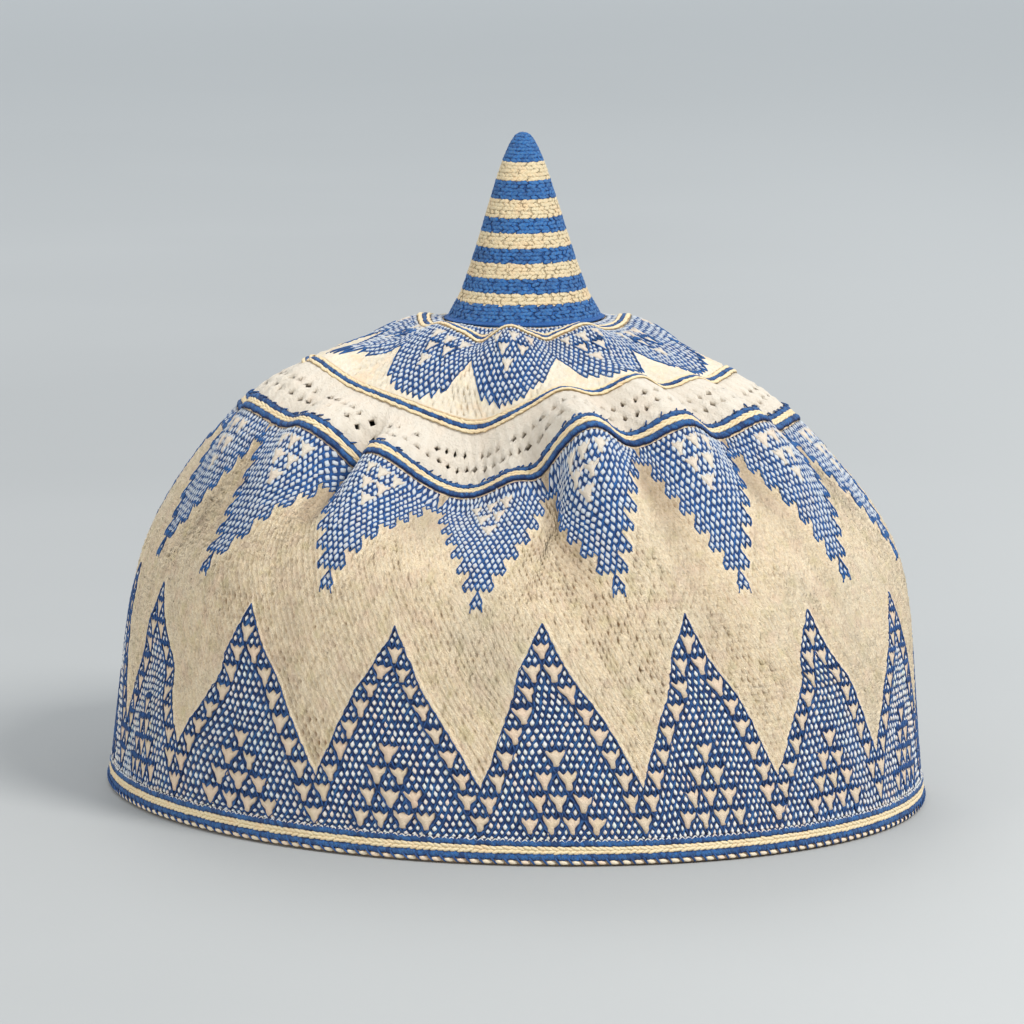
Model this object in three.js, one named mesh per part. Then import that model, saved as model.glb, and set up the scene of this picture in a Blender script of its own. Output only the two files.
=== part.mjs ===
// A crocheted cotton prayer cap: a domed cap with a striped hollow finial, standing on its own hem.
// Millimetres, +Z up. The origin is the middle of the hem, on the surface that the cap stands on.
// Azimuths are in degrees, anticlockwise from +X as seen from above. The head faces along -Y.
// An arc is the distance up the outer face of the cap from the bottom of the hem.

import * as THREE from 'three';

// Driving dimensions
const HEM = { halfWidth: 82.4, halfLength: 98.6 };
const WALL = 2.0;
const GAP = 0.3;
const LEAN = { towards: 315, atTop: 3.7, power: 1.2 };
const ARC = { edgeTop: 1.1, shoulder: 94.0, upperStripe: 110.2, crownStripe: 136.8, finialFoot: 140.9 };
const CORD = { lift: 0.5, height: 0.9, taper: 0.2 };
const HEM_CORD = { pitch: 1.45, width: 1.15 };
const SHOULDER_CORD = { pitch: 1.7, width: 1.4 };
const UPPER_STRIPE = { width: 3.0 };
const CROWN_STRIPE = { width: 2.6 };
const EYELET = { width: 1.5, fromArc: 101.2, toArc: 102.9 };
const FINIAL = { footHeight: 105.6, wall: 2.0, sides: 24 };
const COLUMNS = { dome: 72, hem: 48, start: 2.2 };

// The outline up the wall and over the crown: mean radius and height of the outer face.
const MERIDIAN = [
  { radius: 90.5, height: 0 },
  { radius: 89.0, height: 15 },
  { radius: 87.6, height: 30 },
  { radius: 86.1, height: 43 },
  { radius: 83.2, height: 55 },
  { radius: 77.2, height: 66.5 },
  { radius: 68.8, height: 76 },
  { radius: 59.0, height: 84.4 },
  { radius: 48.3, height: 92.2 },
  { radius: 37.3, height: 98.8 },
  { radius: 27.0, height: 103.2 },
  { radius: 17.6, height: 105.6 },
];

// The soft folds: a ridge has a depth above zero and a valley one below it, along the outline's normal.
// width is the half-width in degrees. The fold is deepest at the arc called peak, and fades out over
// the arcs below and above. drift turns it by degrees for each 10 mm below its peak.
const FOLDS = [
  { azimuth: 208, depth: -13.5, width: 15, peak: 95, below: 38, above: 36, drift: 0 },
  { azimuth: 189, depth: -3, width: 12, peak: 100, below: 38, above: 30, drift: 0 },
  { azimuth: 225.5, depth: -4, width: 4, peak: 92, below: 34, above: 16, drift: 2 },
  { azimuth: 235, depth: 9.5, width: 6.5, peak: 94, below: 36, above: 26, drift: 1 },
  { azimuth: 254.5, depth: 8, width: 7.5, peak: 96, below: 38, above: 34, drift: 1 },
  { azimuth: 275, depth: 6.5, width: 8, peak: 94, below: 34, above: 30, drift: 1 },
  { azimuth: 297, depth: 3.5, width: 9, peak: 98, below: 36, above: 34, drift: 0 },
  { azimuth: 183, depth: -6.5, width: 2.8, peak: 94, below: 30, above: 14, drift: 0 },
  { azimuth: 191, depth: 5, width: 6, peak: 94, below: 34, above: 14, drift: 0 },
  { azimuth: 174, depth: 5, width: 6, peak: 94, below: 34, above: 16, drift: -1 },
  { azimuth: 155, depth: 7.5, width: 11, peak: 98, below: 36, above: 38, drift: 0 },
  { azimuth: 133, depth: 4, width: 10, peak: 100, below: 38, above: 34, drift: 0 },
  { azimuth: 116, depth: -5, width: 7, peak: 95, below: 34, above: 24, drift: 0 },
  { azimuth: 98, depth: 6, width: 8, peak: 96, below: 36, above: 30, drift: -1 },
  { azimuth: 80, depth: -7, width: 8, peak: 94, below: 36, above: 34, drift: 1 },
  { azimuth: 61, depth: 5, width: 8, peak: 95, below: 34, above: 28, drift: 0 },
  { azimuth: 44, depth: -4.5, width: 5, peak: 93, below: 32, above: 18, drift: -1 },
  { azimuth: 28, depth: 6, width: 9, peak: 97, below: 36, above: 32, drift: 0 },
  { azimuth: 8, depth: -6, width: 7, peak: 94, below: 34, above: 26, drift: 1 },
  { azimuth: 350, depth: 5.5, width: 8, peak: 96, below: 36, above: 30, drift: 0 },
  { azimuth: 331, depth: -4, width: 7, peak: 95, below: 32, above: 22, drift: 0 },
  { azimuth: 315, depth: 4, width: 7, peak: 97, below: 34, above: 28, drift: 0 },
  { azimuth: 199, depth: -1.8, width: 7, peak: 135, below: 18, above: 7, drift: 0 },
  { azimuth: 217, depth: 2.2, width: 8, peak: 135, below: 18, above: 7, drift: 0 },
  { azimuth: 237, depth: -1.2, width: 6, peak: 135, below: 18, above: 7, drift: 0 },
  { azimuth: 259, depth: 2, width: 10, peak: 135, below: 18, above: 7, drift: 0 },
  { azimuth: 173, depth: 1.8, width: 12, peak: 135, below: 18, above: 7, drift: 0 },
  { azimuth: 128, depth: 1.8, width: 12, peak: 135, below: 18, above: 7, drift: 0 },
  { azimuth: 84, depth: -1.5, width: 10, peak: 135, below: 18, above: 7, drift: 0 },
  { azimuth: 40, depth: 1.8, width: 12, peak: 135, below: 18, above: 7, drift: 0 },
  { azimuth: 352, depth: -1.5, width: 9, peak: 135, below: 18, above: 7, drift: 0 },
  { azimuth: 310, depth: 1.8, width: 12, peak: 135, below: 18, above: 7, drift: 0 },
];

// The finial's outer face: radius at each height above its foot.
const FINIAL_OUTLINE = [
  { radius: 17.2, height: 0 },
  { radius: 16.2, height: 2.2 },
  { radius: 14.0, height: 6.2 },
  { radius: 11.7, height: 12.6 },
  { radius: 9.7, height: 18.8 },
  { radius: 7.5, height: 26 },
  { radius: 5.2, height: 33.2 },
  { radius: 3.3, height: 38 },
  { radius: 1.7, height: 40.6 },
  { radius: 0, height: 41.5 },
];

// Colours of the cotton
const NATURAL = { color: 0xd9c7a3, roughness: 0.9 };
const OFF_WHITE = { color: 0xe6ddcc, roughness: 0.9 };
const CREAM = { color: 0xe3d3a4, roughness: 0.85 };
const BLUE = { color: 0x2757a4, roughness: 0.85 };
const NETTED = { color: 0x7f97bb, roughness: 0.9 };

const meanRadius = (HEM.halfWidth + HEM.halfLength) / 2;
const ovalness = (HEM.halfLength - HEM.halfWidth) / (HEM.halfLength + HEM.halfWidth);
const topRow = MERIDIAN[MERIDIAN.length - 1];
const meridian = new THREE.SplineCurve(
  MERIDIAN.map(({ radius, height }) => new THREE.Vector2(radius, height)),
);
meridian.arcLengthDivisions = 600;
const meridianLength = meridian.getLength();

// How far a fold still reaches at an arc, from 1 at its peak to 0 where it has faded out.
function foldReach(arc, { peak, below, above }) {
  const away = arc < peak ? (peak - arc) / below : (arc - peak) / above;
  return away < 1 ? Math.cos((Math.PI / 2) * away) ** 2 : 0;
}

// How far all the folds together move the cloth along the outline's normal.
function foldOffset(azimuth, arc) {
  let offset = 0;
  for (const fold of FOLDS) {
    const middle = fold.azimuth + (fold.drift * (fold.peak - arc)) / 10;
    const turned = THREE.MathUtils.euclideanModulo(azimuth - middle + 180, 360) - 180;
    offset += fold.depth * Math.exp(-((turned / fold.width) ** 2)) * foldReach(arc, fold);
  }
  return offset;
}

// The middle of the cap at a height: the crown leans a little to one side.
function axisAt(height) {
  const shift = LEAN.atTop * (Math.max(height, 0) / topRow.height) ** LEAN.power;
  const towards = THREE.MathUtils.degToRad(LEAN.towards);
  return new THREE.Vector2(Math.cos(towards), Math.sin(towards)).multiplyScalar(shift);
}

// A point of the cap: the oval plan fades to a circle at the foot of the finial.
function capPoint(azimuth, arc, lift) {
  const share = THREE.MathUtils.clamp(arc / meridianLength, 0, 1);
  const { x: radius, y: height } = meridian.getPointAt(share);
  const tangent = meridian.getTangentAt(share);
  const offset = lift + foldOffset(azimuth, arc);
  const oval = ovalness * THREE.MathUtils.clamp((radius - topRow.radius) / (meanRadius - topRow.radius), 0, 1);
  const angle = THREE.MathUtils.degToRad(azimuth);
  const middle = axisAt(height);
  const outwards = offset * tangent.y;
  return new THREE.Vector3(
    (radius * (1 - oval) + outwards) * Math.cos(angle) + middle.x,
    (radius * (1 + oval) + outwards) * Math.sin(angle) + middle.y,
    height - offset * tangent.x,
  );
}

// A point of the hem's edge, which stands flat on the surface below the cap.
function edgePoint(azimuth, height, lift) {
  const angle = THREE.MathUtils.degToRad(azimuth);
  return new THREE.Vector3(
    (HEM.halfWidth + lift) * Math.cos(angle),
    (HEM.halfLength + lift) * Math.sin(angle),
    height,
  );
}

function evenAzimuths(count) {
  return Array.from({ length: count }, (_, i) => COLUMNS.start + (360 * i) / count);
}

// Places in pairs: each column of the dome, then the far side of the eyelet that starts there.
// Both lie on the flat faces between the dome's columns, so the cords on the band clear them.
function eyeletPlaces() {
  const pitch = 360 / COLUMNS.dome;
  const radius = meridian.getPointAt(EYELET.fromArc / meridianLength).x;
  const share = EYELET.width / (radius * THREE.MathUtils.degToRad(pitch));
  return evenAzimuths(COLUMNS.dome).flatMap((azimuth) => [
    { azimuth, next: azimuth + pitch, share: 0 },
    { azimuth, next: azimuth + pitch, share },
  ]);
}

// A closed ring that carries a section round the cap. The section runs up the outside and down the
// inside. Where isOpen(column) says so, the strip called outside is cut through to the one called inside.
function ringGeometry(places, section, pointAt, cut) {
  const across = section.length;
  const positions = places.flatMap((place) =>
    section.flatMap((corner) => pointAt(place, corner).toArray()),
  );
  const vertex = (column, row) => (column % places.length) * across + (row % across);
  const faces = [];
  const addQuad = (a, b, c, d) => faces.push(a, b, c, a, c, d);
  for (let column = 0; column < places.length; column += 1) {
    const open = cut !== undefined && cut.isOpen(column);
    for (let row = 0; row < across; row += 1) {
      if (open && (row === cut.outside || row === cut.inside)) continue;
      addQuad(
        vertex(column, row),
        vertex(column + 1, row),
        vertex(column + 1, row + 1),
        vertex(column, row + 1),
      );
    }
    if (open) {
      const rim = [
        [vertex(column, cut.outside), vertex(column, cut.inside + 1)],
        [vertex(column + 1, cut.outside), vertex(column + 1, cut.inside + 1)],
        [vertex(column + 1, cut.outside + 1), vertex(column + 1, cut.inside)],
        [vertex(column, cut.outside + 1), vertex(column, cut.inside)],
      ];
      rim.forEach(([outer, inner], side) => {
        const [nextOuter, nextInner] = rim[(side + 1) % rim.length];
        addQuad(outer, nextOuter, nextInner, inner);
      });
    }
  }
  const geometry = new THREE.BufferGeometry();
  geometry.setAttribute('position', new THREE.Float32BufferAttribute(positions, 3));
  geometry.setIndex(faces);
  geometry.computeVertexNormals();
  return geometry;
}

function piece(name, geometry, { color, roughness }) {
  const material = new THREE.MeshStandardMaterial({ color, roughness, metalness: 0, flatShading: true });
  const mesh = new THREE.Mesh(geometry, material);
  mesh.name = name;
  return mesh;
}

// A stretch of the knitted wall. The inside may have fewer rows than the outside.
function clothSection(outsideArcs, insideArcs) {
  const outside = outsideArcs.map((arc) => ({ arc, lift: 0 }));
  const inside = [...insideArcs].reverse().map((arc) => ({ arc, lift: -WALL }));
  return [...outside, ...inside];
}

function onCap(azimuth, { arc, lift }) {
  return capPoint(azimuth, arc, lift);
}

// A raised cord worked round the outside of the cloth.
function cord(name, arc, width, columns, finish) {
  const section = [
    { arc: arc - width / 2, lift: CORD.lift },
    { arc: arc - width / 2 + CORD.taper, lift: CORD.lift + CORD.height },
    { arc: arc + width / 2 - CORD.taper, lift: CORD.lift + CORD.height },
    { arc: arc + width / 2, lift: CORD.lift },
  ];
  return piece(name, ringGeometry(evenAzimuths(columns), section, onCap), finish);
}

// The overcast edge that the cap stands on, flat underneath.
function hemEdge() {
  const section = [
    { height: 0, lift: 0 },
    { height: ARC.edgeTop, lift: 0.2 },
    { height: ARC.edgeTop, lift: -WALL },
    { height: 0, lift: -WALL },
  ];
  const onEdge = (azimuth, { height, lift }) => edgePoint(azimuth, height, lift);
  return piece('hem_edge', ringGeometry(evenAzimuths(COLUMNS.hem), section, onEdge), NATURAL);
}

// Three cords lie side by side just above the edge.
function hemCords() {
  const first = ARC.edgeTop + GAP + HEM_CORD.width / 2;
  const rows = [
    { name: 'hem_cord_low', finish: BLUE },
    { name: 'hem_cord_middle', finish: CREAM },
    { name: 'hem_cord_high', finish: BLUE },
  ];
  return rows.map(({ name, finish }, i) =>
    cord(name, first + i * HEM_CORD.pitch, HEM_CORD.width, COLUMNS.hem, finish),
  );
}

// The wall from the hem's edge to the shoulder, with more rows where the folds are.
function sideWall() {
  const foot = ARC.edgeTop + GAP;
  const top = ARC.shoulder - GAP / 2;
  const outside = [foot, 6, 40, 54, 64, 73, 81, 88, ARC.shoulder - 2.8, top];
  const inside = [foot, 42, 58, 70, 83, top];
  const section = clothSection(outside, inside);
  return piece('side_wall', ringGeometry(evenAzimuths(COLUMNS.dome), section, onCap), NATURAL);
}

// Three cords cover the join between the wall and the openwork band.
function shoulderCords() {
  const rows = [
    { name: 'shoulder_cord_low', side: -1, finish: BLUE },
    { name: 'shoulder_cord_middle', side: 0, finish: CREAM },
    { name: 'shoulder_cord_high', side: 1, finish: BLUE },
  ];
  return rows.map(({ name, side, finish }) =>
    cord(name, ARC.shoulder + side * SHOULDER_CORD.pitch, SHOULDER_CORD.width, COLUMNS.dome, finish),
  );
}

// The off-white band between the two stripes, with a ring of eyelets cut through it.
function openworkBand() {
  const arcs = [ARC.shoulder + GAP / 2, EYELET.fromArc, EYELET.toArc, ARC.upperStripe - GAP / 2];
  const cut = { outside: 1, inside: 5, isOpen: (column) => column % 2 === 0 };
  const onFace = ({ azimuth, next, share }, corner) =>
    onCap(azimuth, corner).lerp(onCap(next, corner), share);
  const geometry = ringGeometry(eyeletPlaces(), clothSection(arcs, arcs), onFace, cut);
  return piece('openwork_band', geometry, OFF_WHITE);
}

function crownTop() {
  const foot = ARC.upperStripe + GAP / 2;
  const top = ARC.crownStripe - GAP / 2;
  const section = clothSection([foot, 113, 122, 131, top], [foot, 121, 130, top]);
  return piece('crown_top', ringGeometry(evenAzimuths(COLUMNS.dome), section, onCap), NETTED);
}

// The narrow ring of cloth round the foot of the finial.
function crownRing() {
  const arcs = [ARC.crownStripe + GAP / 2, ARC.finialFoot];
  const section = clothSection(arcs, arcs);
  return piece('crown_ring', ringGeometry(evenAzimuths(COLUMNS.dome), section, onCap), NETTED);
}

// The hollow finial, closed at its tip and open into the cap.
function finial() {
  const outside = [...FINIAL_OUTLINE].reverse().map(({ radius, height }) => new THREE.Vector2(radius, height));
  const inside = FINIAL_OUTLINE.filter(({ radius }) => radius > FINIAL.wall * 1.5).map(
    ({ radius, height }) => new THREE.Vector2(radius - FINIAL.wall, height),
  );
  const innerTip = inside[inside.length - 1].y + 1;
  const profile = [...outside, ...inside, new THREE.Vector2(0, innerTip)].reverse();
  const geometry = new THREE.LatheGeometry(profile, FINIAL.sides);
  geometry.rotateX(Math.PI / 2);
  const mesh = piece('finial', geometry, BLUE);
  const middle = axisAt(topRow.height);
  mesh.position.set(middle.x, middle.y, FINIAL.footHeight);
  return mesh;
}

const cap = new THREE.Group();
cap.add(
  hemEdge(),
  ...hemCords(),
  sideWall(),
  ...shoulderCords(),
  openworkBand(),
  cord('upper_stripe', ARC.upperStripe, UPPER_STRIPE.width, COLUMNS.dome, BLUE),
  crownTop(),
  cord('crown_stripe', ARC.crownStripe, CROWN_STRIPE.width, COLUMNS.dome, BLUE),
  crownRing(),
  finial(),
);

export default cap;
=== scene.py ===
# A crocheted cotton prayer cap with a striped finial, dressed stitch by stitch around its imported solids.
# Sizes are in millimetres until a piece is made, which turns them into metres.
# Azimuths are in degrees, anticlockwise from +X as seen from above.
# An arc is the distance up the outer face of the cap from the bottom of the hem.
# A lift is the distance out of that face. A rise says how far a point stands out of its own stitch.
# The materials paint shade where a rise is low, and wear with a painted highlight where it is high.

import math
from collections import namedtuple

import bpy
import numpy as np
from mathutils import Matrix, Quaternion, Vector


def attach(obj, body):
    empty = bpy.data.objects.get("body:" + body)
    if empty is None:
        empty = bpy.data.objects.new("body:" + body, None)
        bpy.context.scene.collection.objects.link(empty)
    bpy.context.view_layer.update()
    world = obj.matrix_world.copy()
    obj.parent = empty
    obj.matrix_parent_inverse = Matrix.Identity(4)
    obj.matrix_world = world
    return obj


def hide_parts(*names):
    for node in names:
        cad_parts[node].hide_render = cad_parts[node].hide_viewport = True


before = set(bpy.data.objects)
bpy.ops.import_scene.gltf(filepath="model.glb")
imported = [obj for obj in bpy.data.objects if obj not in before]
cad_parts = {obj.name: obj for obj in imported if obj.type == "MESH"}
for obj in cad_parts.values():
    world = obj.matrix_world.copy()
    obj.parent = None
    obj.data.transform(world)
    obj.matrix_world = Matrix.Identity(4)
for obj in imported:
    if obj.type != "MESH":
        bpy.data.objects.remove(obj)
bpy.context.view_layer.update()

BODY = "root"
MM = 0.001
DRAW = np.random.default_rng(1427)

# Driving dimensions, the same as the solids'

HEM_HALF_WIDTH = 82.4
HEM_HALF_LENGTH = 98.6
WALL = 2.0
EDGE_TOP = 1.1
GAP = 0.3
SHOULDER = 94.0
UPPER_STRIPE = 110.2
CROWN_STRIPE = 136.8
FINIAL_FOOT_ARC = 140.9
FINIAL_FOOT = 105.6
LEAN_TOWARDS = 315
LEAN_AT_TOP = 3.7
LEAN_POWER = 1.2
HEM_CORD_PITCH = 1.45
HEM_CORD_WIDTH = 1.15

# The outline up the wall and over the crown: mean radius and height.
MERIDIAN = np.array([
    (90.5, 0), (89.0, 15), (87.6, 30), (86.1, 43), (83.2, 55), (77.2, 66.5),
    (68.8, 76), (59.0, 84.4), (48.3, 92.2), (37.3, 98.8), (27.0, 103.2), (17.6, 105.6),
])

# The finial's outer face: radius and height above its foot.
FINIAL_OUTLINE = np.array([
    (17.2, 0), (16.2, 2.2), (14.0, 6.2), (11.7, 12.6), (9.7, 18.8),
    (7.5, 26), (5.2, 33.2), (3.3, 38), (1.7, 40.6), (0, 41.5),
])

# The soft folds: azimuth, depth, half-width in degrees, arc of the peak, reach below and above it,
# and the turn in degrees for each 10 mm below the peak.
FOLDS = np.array([
    (208, -13.5, 15, 95, 38, 36, 0), (189, -3, 12, 100, 38, 30, 0), (225.5, -4, 4, 92, 34, 16, 2),
    (235, 9.5, 6.5, 94, 36, 26, 1), (254.5, 8, 7.5, 96, 38, 34, 1), (275, 6.5, 8, 94, 34, 30, 1),
    (297, 3.5, 9, 98, 36, 34, 0), (183, -6.5, 2.8, 94, 30, 14, 0), (191, 5, 6, 94, 34, 14, 0),
    (174, 5, 6, 94, 34, 16, -1), (155, 7.5, 11, 98, 36, 38, 0), (133, 4, 10, 100, 38, 34, 0),
    (116, -5, 7, 95, 34, 24, 0), (98, 6, 8, 96, 36, 30, -1), (80, -7, 8, 94, 36, 34, 1),
    (61, 5, 8, 95, 34, 28, 0), (44, -4.5, 5, 93, 32, 18, -1), (28, 6, 9, 97, 36, 32, 0),
    (8, -6, 7, 94, 34, 26, 1), (350, 5.5, 8, 96, 36, 30, 0), (331, -4, 7, 95, 32, 22, 0),
    (315, 4, 7, 97, 34, 28, 0), (199, -1.8, 7, 135, 18, 7, 0), (217, 2.2, 8, 135, 18, 7, 0),
    (237, -1.2, 6, 135, 18, 7, 0), (259, 2, 10, 135, 18, 7, 0), (173, 1.8, 12, 135, 18, 7, 0),
    (128, 1.8, 12, 135, 18, 7, 0), (84, -1.5, 10, 135, 18, 7, 0), (40, 1.8, 12, 135, 18, 7, 0),
    (352, -1.5, 9, 135, 18, 7, 0), (310, 1.8, 12, 135, 18, 7, 0),
])

# Gentler undulations of the worn cloth, which the solids leave out. The columns are the same.
SOFT_FOLDS = np.array([
    (228, -1.2, 4.5, 68, 26, 22, 2.5), (241, 1.0, 6, 60, 26, 26, 1), (205, 0.8, 8, 56, 26, 24, 0),
    (184, -0.9, 6, 52, 28, 24, 1), (262, 0.8, 9, 54, 30, 26, 0), (172, 0.8, 6, 30, 18, 24, -1),
    (216, -0.7, 7, 40, 22, 22, 1), (249, -0.7, 7, 42, 24, 24, -1), (274, -0.6, 6, 60, 26, 22, 1),
    (140, -0.9, 8, 55, 30, 24, 0), (100, 0.9, 9, 50, 28, 28, 1), (60, -0.9, 9, 55, 30, 24, 0),
    (322, -4.6, 16, 93, 36, 44, 0), (20, 0.9, 9, 50, 28, 28, 1), (340, -0.9, 9, 55, 30, 24, 0),
    (300, 0.7, 8, 52, 28, 26, 1), (348, -3.4, 10, 108, 24, 28, 0),
])

# The surface that every stitch lies on


def smooth_curve(points, steps):
    """A curve through the points, with its arc length and its direction at each step."""
    padded = np.vstack([points[:1], points, points[-1:]])
    share = np.linspace(0, 1, steps, endpoint=False)[:, None]
    spans = []
    for before, start, end, after in zip(padded, padded[1:], padded[2:], padded[3:]):
        leaving = (end - before) / 2
        arriving = (after - start) / 2
        cubic = 2 * start - 2 * end + leaving + arriving
        square = -3 * start + 3 * end - 2 * leaving - arriving
        spans.append(cubic * share**3 + square * share**2 + leaving * share + start)
    curve = np.vstack(spans + [points[-1:]])
    length = np.r_[0, np.cumsum(np.hypot(*np.diff(curve, axis=0).T))]
    return curve, length, np.gradient(curve, length, axis=0)


OUTLINE, OUTLINE_ARC, OUTLINE_DIRECTION = smooth_curve(MERIDIAN, 60)
MEAN_RADIUS = (HEM_HALF_WIDTH + HEM_HALF_LENGTH) / 2
OVALNESS = (HEM_HALF_LENGTH - HEM_HALF_WIDTH) / (HEM_HALF_LENGTH + HEM_HALF_WIDTH)
TOP_RADIUS, TOP_HEIGHT = MERIDIAN[-1]


def fold_offset(azimuth, arc):
    offset = np.zeros(np.broadcast(azimuth, arc).shape)
    for middle, depth, width, peak, below, above, drift in np.vstack([FOLDS, SOFT_FOLDS]):
        away = np.where(arc < peak, (peak - arc) / below, (arc - peak) / above)
        reach = np.where(away < 1, np.cos(np.pi / 2 * np.clip(away, 0, 1)) ** 2, 0)
        turned = (azimuth - middle - drift * (peak - arc) / 10 + 180) % 360 - 180
        offset += depth * np.exp(-((turned / width) ** 2)) * reach
    return offset


def axis_at(height):
    """The middle of the cap at a height: the crown leans a little to one side."""
    shift = LEAN_AT_TOP * (np.maximum(height, 0) / TOP_HEIGHT) ** LEAN_POWER
    towards = math.radians(LEAN_TOWARDS)
    return shift * math.cos(towards), shift * math.sin(towards)


def cloth_face(azimuth, arc):
    """Points of the cap's outer face, where the stitches are rooted."""
    radius = np.interp(arc, OUTLINE_ARC, OUTLINE[:, 0])
    height = np.interp(arc, OUTLINE_ARC, OUTLINE[:, 1])
    outwards = np.interp(arc, OUTLINE_ARC, OUTLINE_DIRECTION[:, 1])
    upwards = -np.interp(arc, OUTLINE_ARC, OUTLINE_DIRECTION[:, 0])
    offset = fold_offset(azimuth, arc)
    oval = OVALNESS * np.clip((radius - TOP_RADIUS) / (MEAN_RADIUS - TOP_RADIUS), 0, 1)
    angle = np.radians(azimuth)
    middle_x, middle_y = axis_at(height)
    return np.stack([
        (radius * (1 - oval) + offset * outwards) * np.cos(angle) + middle_x,
        (radius * (1 + oval) + offset * outwards) * np.sin(angle) + middle_y,
        height + offset * upwards,
    ], axis=-1)


def on_cap(azimuth, arc, lift):
    """Points that stand out of the folded cloth by their lift, square to it."""
    step = 0.3
    across = cloth_face(azimuth + step, arc) - cloth_face(azimuth - step, arc)
    along = cloth_face(azimuth, arc + step) - cloth_face(azimuth, arc - step)
    normal = np.cross(across, along)
    normal /= np.linalg.norm(normal, axis=-1, keepdims=True)
    return cloth_face(azimuth, arc) + normal * np.asarray(lift)[..., None]


def on_edge(azimuth, height, lift):
    """Points on the hem's edge, which stands flat on the surface below the cap."""
    azimuth, height, lift = np.broadcast_arrays(azimuth, height, lift)
    angle = np.radians(azimuth)
    return np.stack([
        (HEM_HALF_WIDTH + lift) * np.cos(angle),
        (HEM_HALF_LENGTH + lift) * np.sin(angle),
        height,
    ], axis=-1)


FINIAL_CURVE, FINIAL_ARC, FINIAL_DIRECTION = smooth_curve(FINIAL_OUTLINE, 40)


def on_finial(azimuth, arc, lift):
    """Points of the finial. Here an arc starts at the finial's foot."""
    radius = np.interp(arc, FINIAL_ARC, FINIAL_CURVE[:, 0])
    height = np.interp(arc, FINIAL_ARC, FINIAL_CURVE[:, 1])
    outwards = np.interp(arc, FINIAL_ARC, FINIAL_DIRECTION[:, 1])
    upwards = -np.interp(arc, FINIAL_ARC, FINIAL_DIRECTION[:, 0])
    angle = np.radians(azimuth)
    middle_x, middle_y = axis_at(TOP_HEIGHT)
    return np.stack([
        (radius + lift * outwards) * np.cos(angle) + middle_x,
        (radius + lift * outwards) * np.sin(angle) + middle_y,
        FINIAL_FOOT + height + lift * upwards,
    ], axis=-1)


# Making meshes

# A mesh before it is made. Its rise and tint belong to the points. A sheet also has the finish of each
# triangle, as a number in its list of finishes, and for its points the places for the grain and the painted
# shade in the folds.
Shape = namedtuple("Shape", "points triangles rise tint finish_of grain soil", defaults=(None, None, None))


def piece(name, nodes, slot, shape, *finishes):
    """A mesh of the cap, from a shape in millimetres."""
    count = len(shape.triangles)
    mesh = bpy.data.meshes.new(name)
    mesh.vertices.add(len(shape.points))
    mesh.vertices.foreach_set("co", (shape.points * MM).astype(np.float32).ravel())
    mesh.loops.add(3 * count)
    mesh.loops.foreach_set("vertex_index", shape.triangles.astype(np.int32).ravel())
    mesh.polygons.add(count)
    mesh.polygons.foreach_set("loop_start", np.arange(0, 3 * count, 3, dtype=np.int32))
    for finish in finishes:
        mesh.materials.append(finish)
    if shape.finish_of is not None:
        mesh.polygons.foreach_set("material_index", shape.finish_of.astype(np.int32))
    mesh.update(calc_edges=True)
    mesh.shade_smooth()
    for title, amounts in (("rise", shape.rise), ("tint", shape.tint), ("soil", shape.soil)):
        if amounts is not None:
            layer = mesh.attributes.new(title, "FLOAT", "POINT")
            layer.data.foreach_set("value", amounts.astype(np.float32).ravel())
    if shape.grain is not None:
        layer = mesh.attributes.new("weave", "FLOAT_VECTOR", "POINT")
        layer.data.foreach_set("vector", shape.grain.astype(np.float32).ravel())
    mesh.validate()
    made = bpy.data.objects.new(name, mesh)
    bpy.context.scene.collection.objects.link(made)
    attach(made, BODY)
    if nodes:
        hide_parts(*nodes)


class Lumps:
    """Many copies of one small closed form, laid on a surface and joined into one mesh."""

    def __init__(self, surface, form):
        self.surface = surface
        self.form, self.faces = form
        self.places = []

    def add(self, azimuth, arc, width, length, height, lift=0.0, slant=0.0, turn=0.0):
        """width and length are in millimetres at the place; slant leans the form along its length."""
        shape = np.broadcast(azimuth, arc, width, length, height, lift, slant, turn).shape
        values = [azimuth, arc, width, length, height, lift, slant, turn]
        self.places.append(np.stack([np.broadcast_to(v, shape).ravel() for v in values], axis=-1))

    def mesh(self, radius_at):
        """The shape of all the copies."""
        azimuth, arc, width, length, height, lift, slant, turn = np.vstack(self.places).T[..., None]
        side, along, up = self.form.T
        across_mm = side * width
        along_mm = along * length
        turned = np.radians(turn)
        moved_across = across_mm * np.cos(turned) - along_mm * np.sin(turned) - slant * along_mm
        moved_along = across_mm * np.sin(turned) + along_mm * np.cos(turned)
        degrees = np.degrees(moved_across / radius_at(azimuth, arc))
        points = self.surface(azimuth + degrees, arc + moved_along, lift + up * height)
        count, corners = points.shape[:2]
        starts = np.arange(count)[:, None, None] * corners
        triangles = (self.faces[None] + starts).reshape(-1, 3)
        tint = np.repeat(DRAW.random(count), corners)
        # Each copy's rise runs from its foot to its top, so the materials paint shade round its foot and wear
        # with a highlight on top.
        return Shape(points.reshape(-1, 3), triangles, np.tile(up, count), tint)


def dome_form(shoulder):
    """A closed round dome one unit wide and long: a foot ring, a shoulder ring and a top."""
    sides = 8
    angle = 2 * np.pi * np.arange(sides) / sides
    foot = np.stack([0.5 * np.cos(angle), 0.5 * np.sin(angle), np.zeros(sides)], axis=-1)
    ring = foot * [shoulder, shoulder, 0] + [0, 0, 0.72]
    points = np.vstack([foot, ring, [[0, 0, 1.0]]])
    here = np.arange(sides)
    following = (here + 1) % sides
    top = np.full(sides, 2 * sides)
    faces = [
        np.stack([here, following, following + sides], axis=-1),
        np.stack([here, following + sides, here + sides], axis=-1),
        np.stack([here + sides, following + sides, top], axis=-1),
        np.stack([np.zeros(sides - 2, int), here[2:], here[1:-1]], axis=-1),
    ]
    return points, np.vstack(faces)


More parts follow.
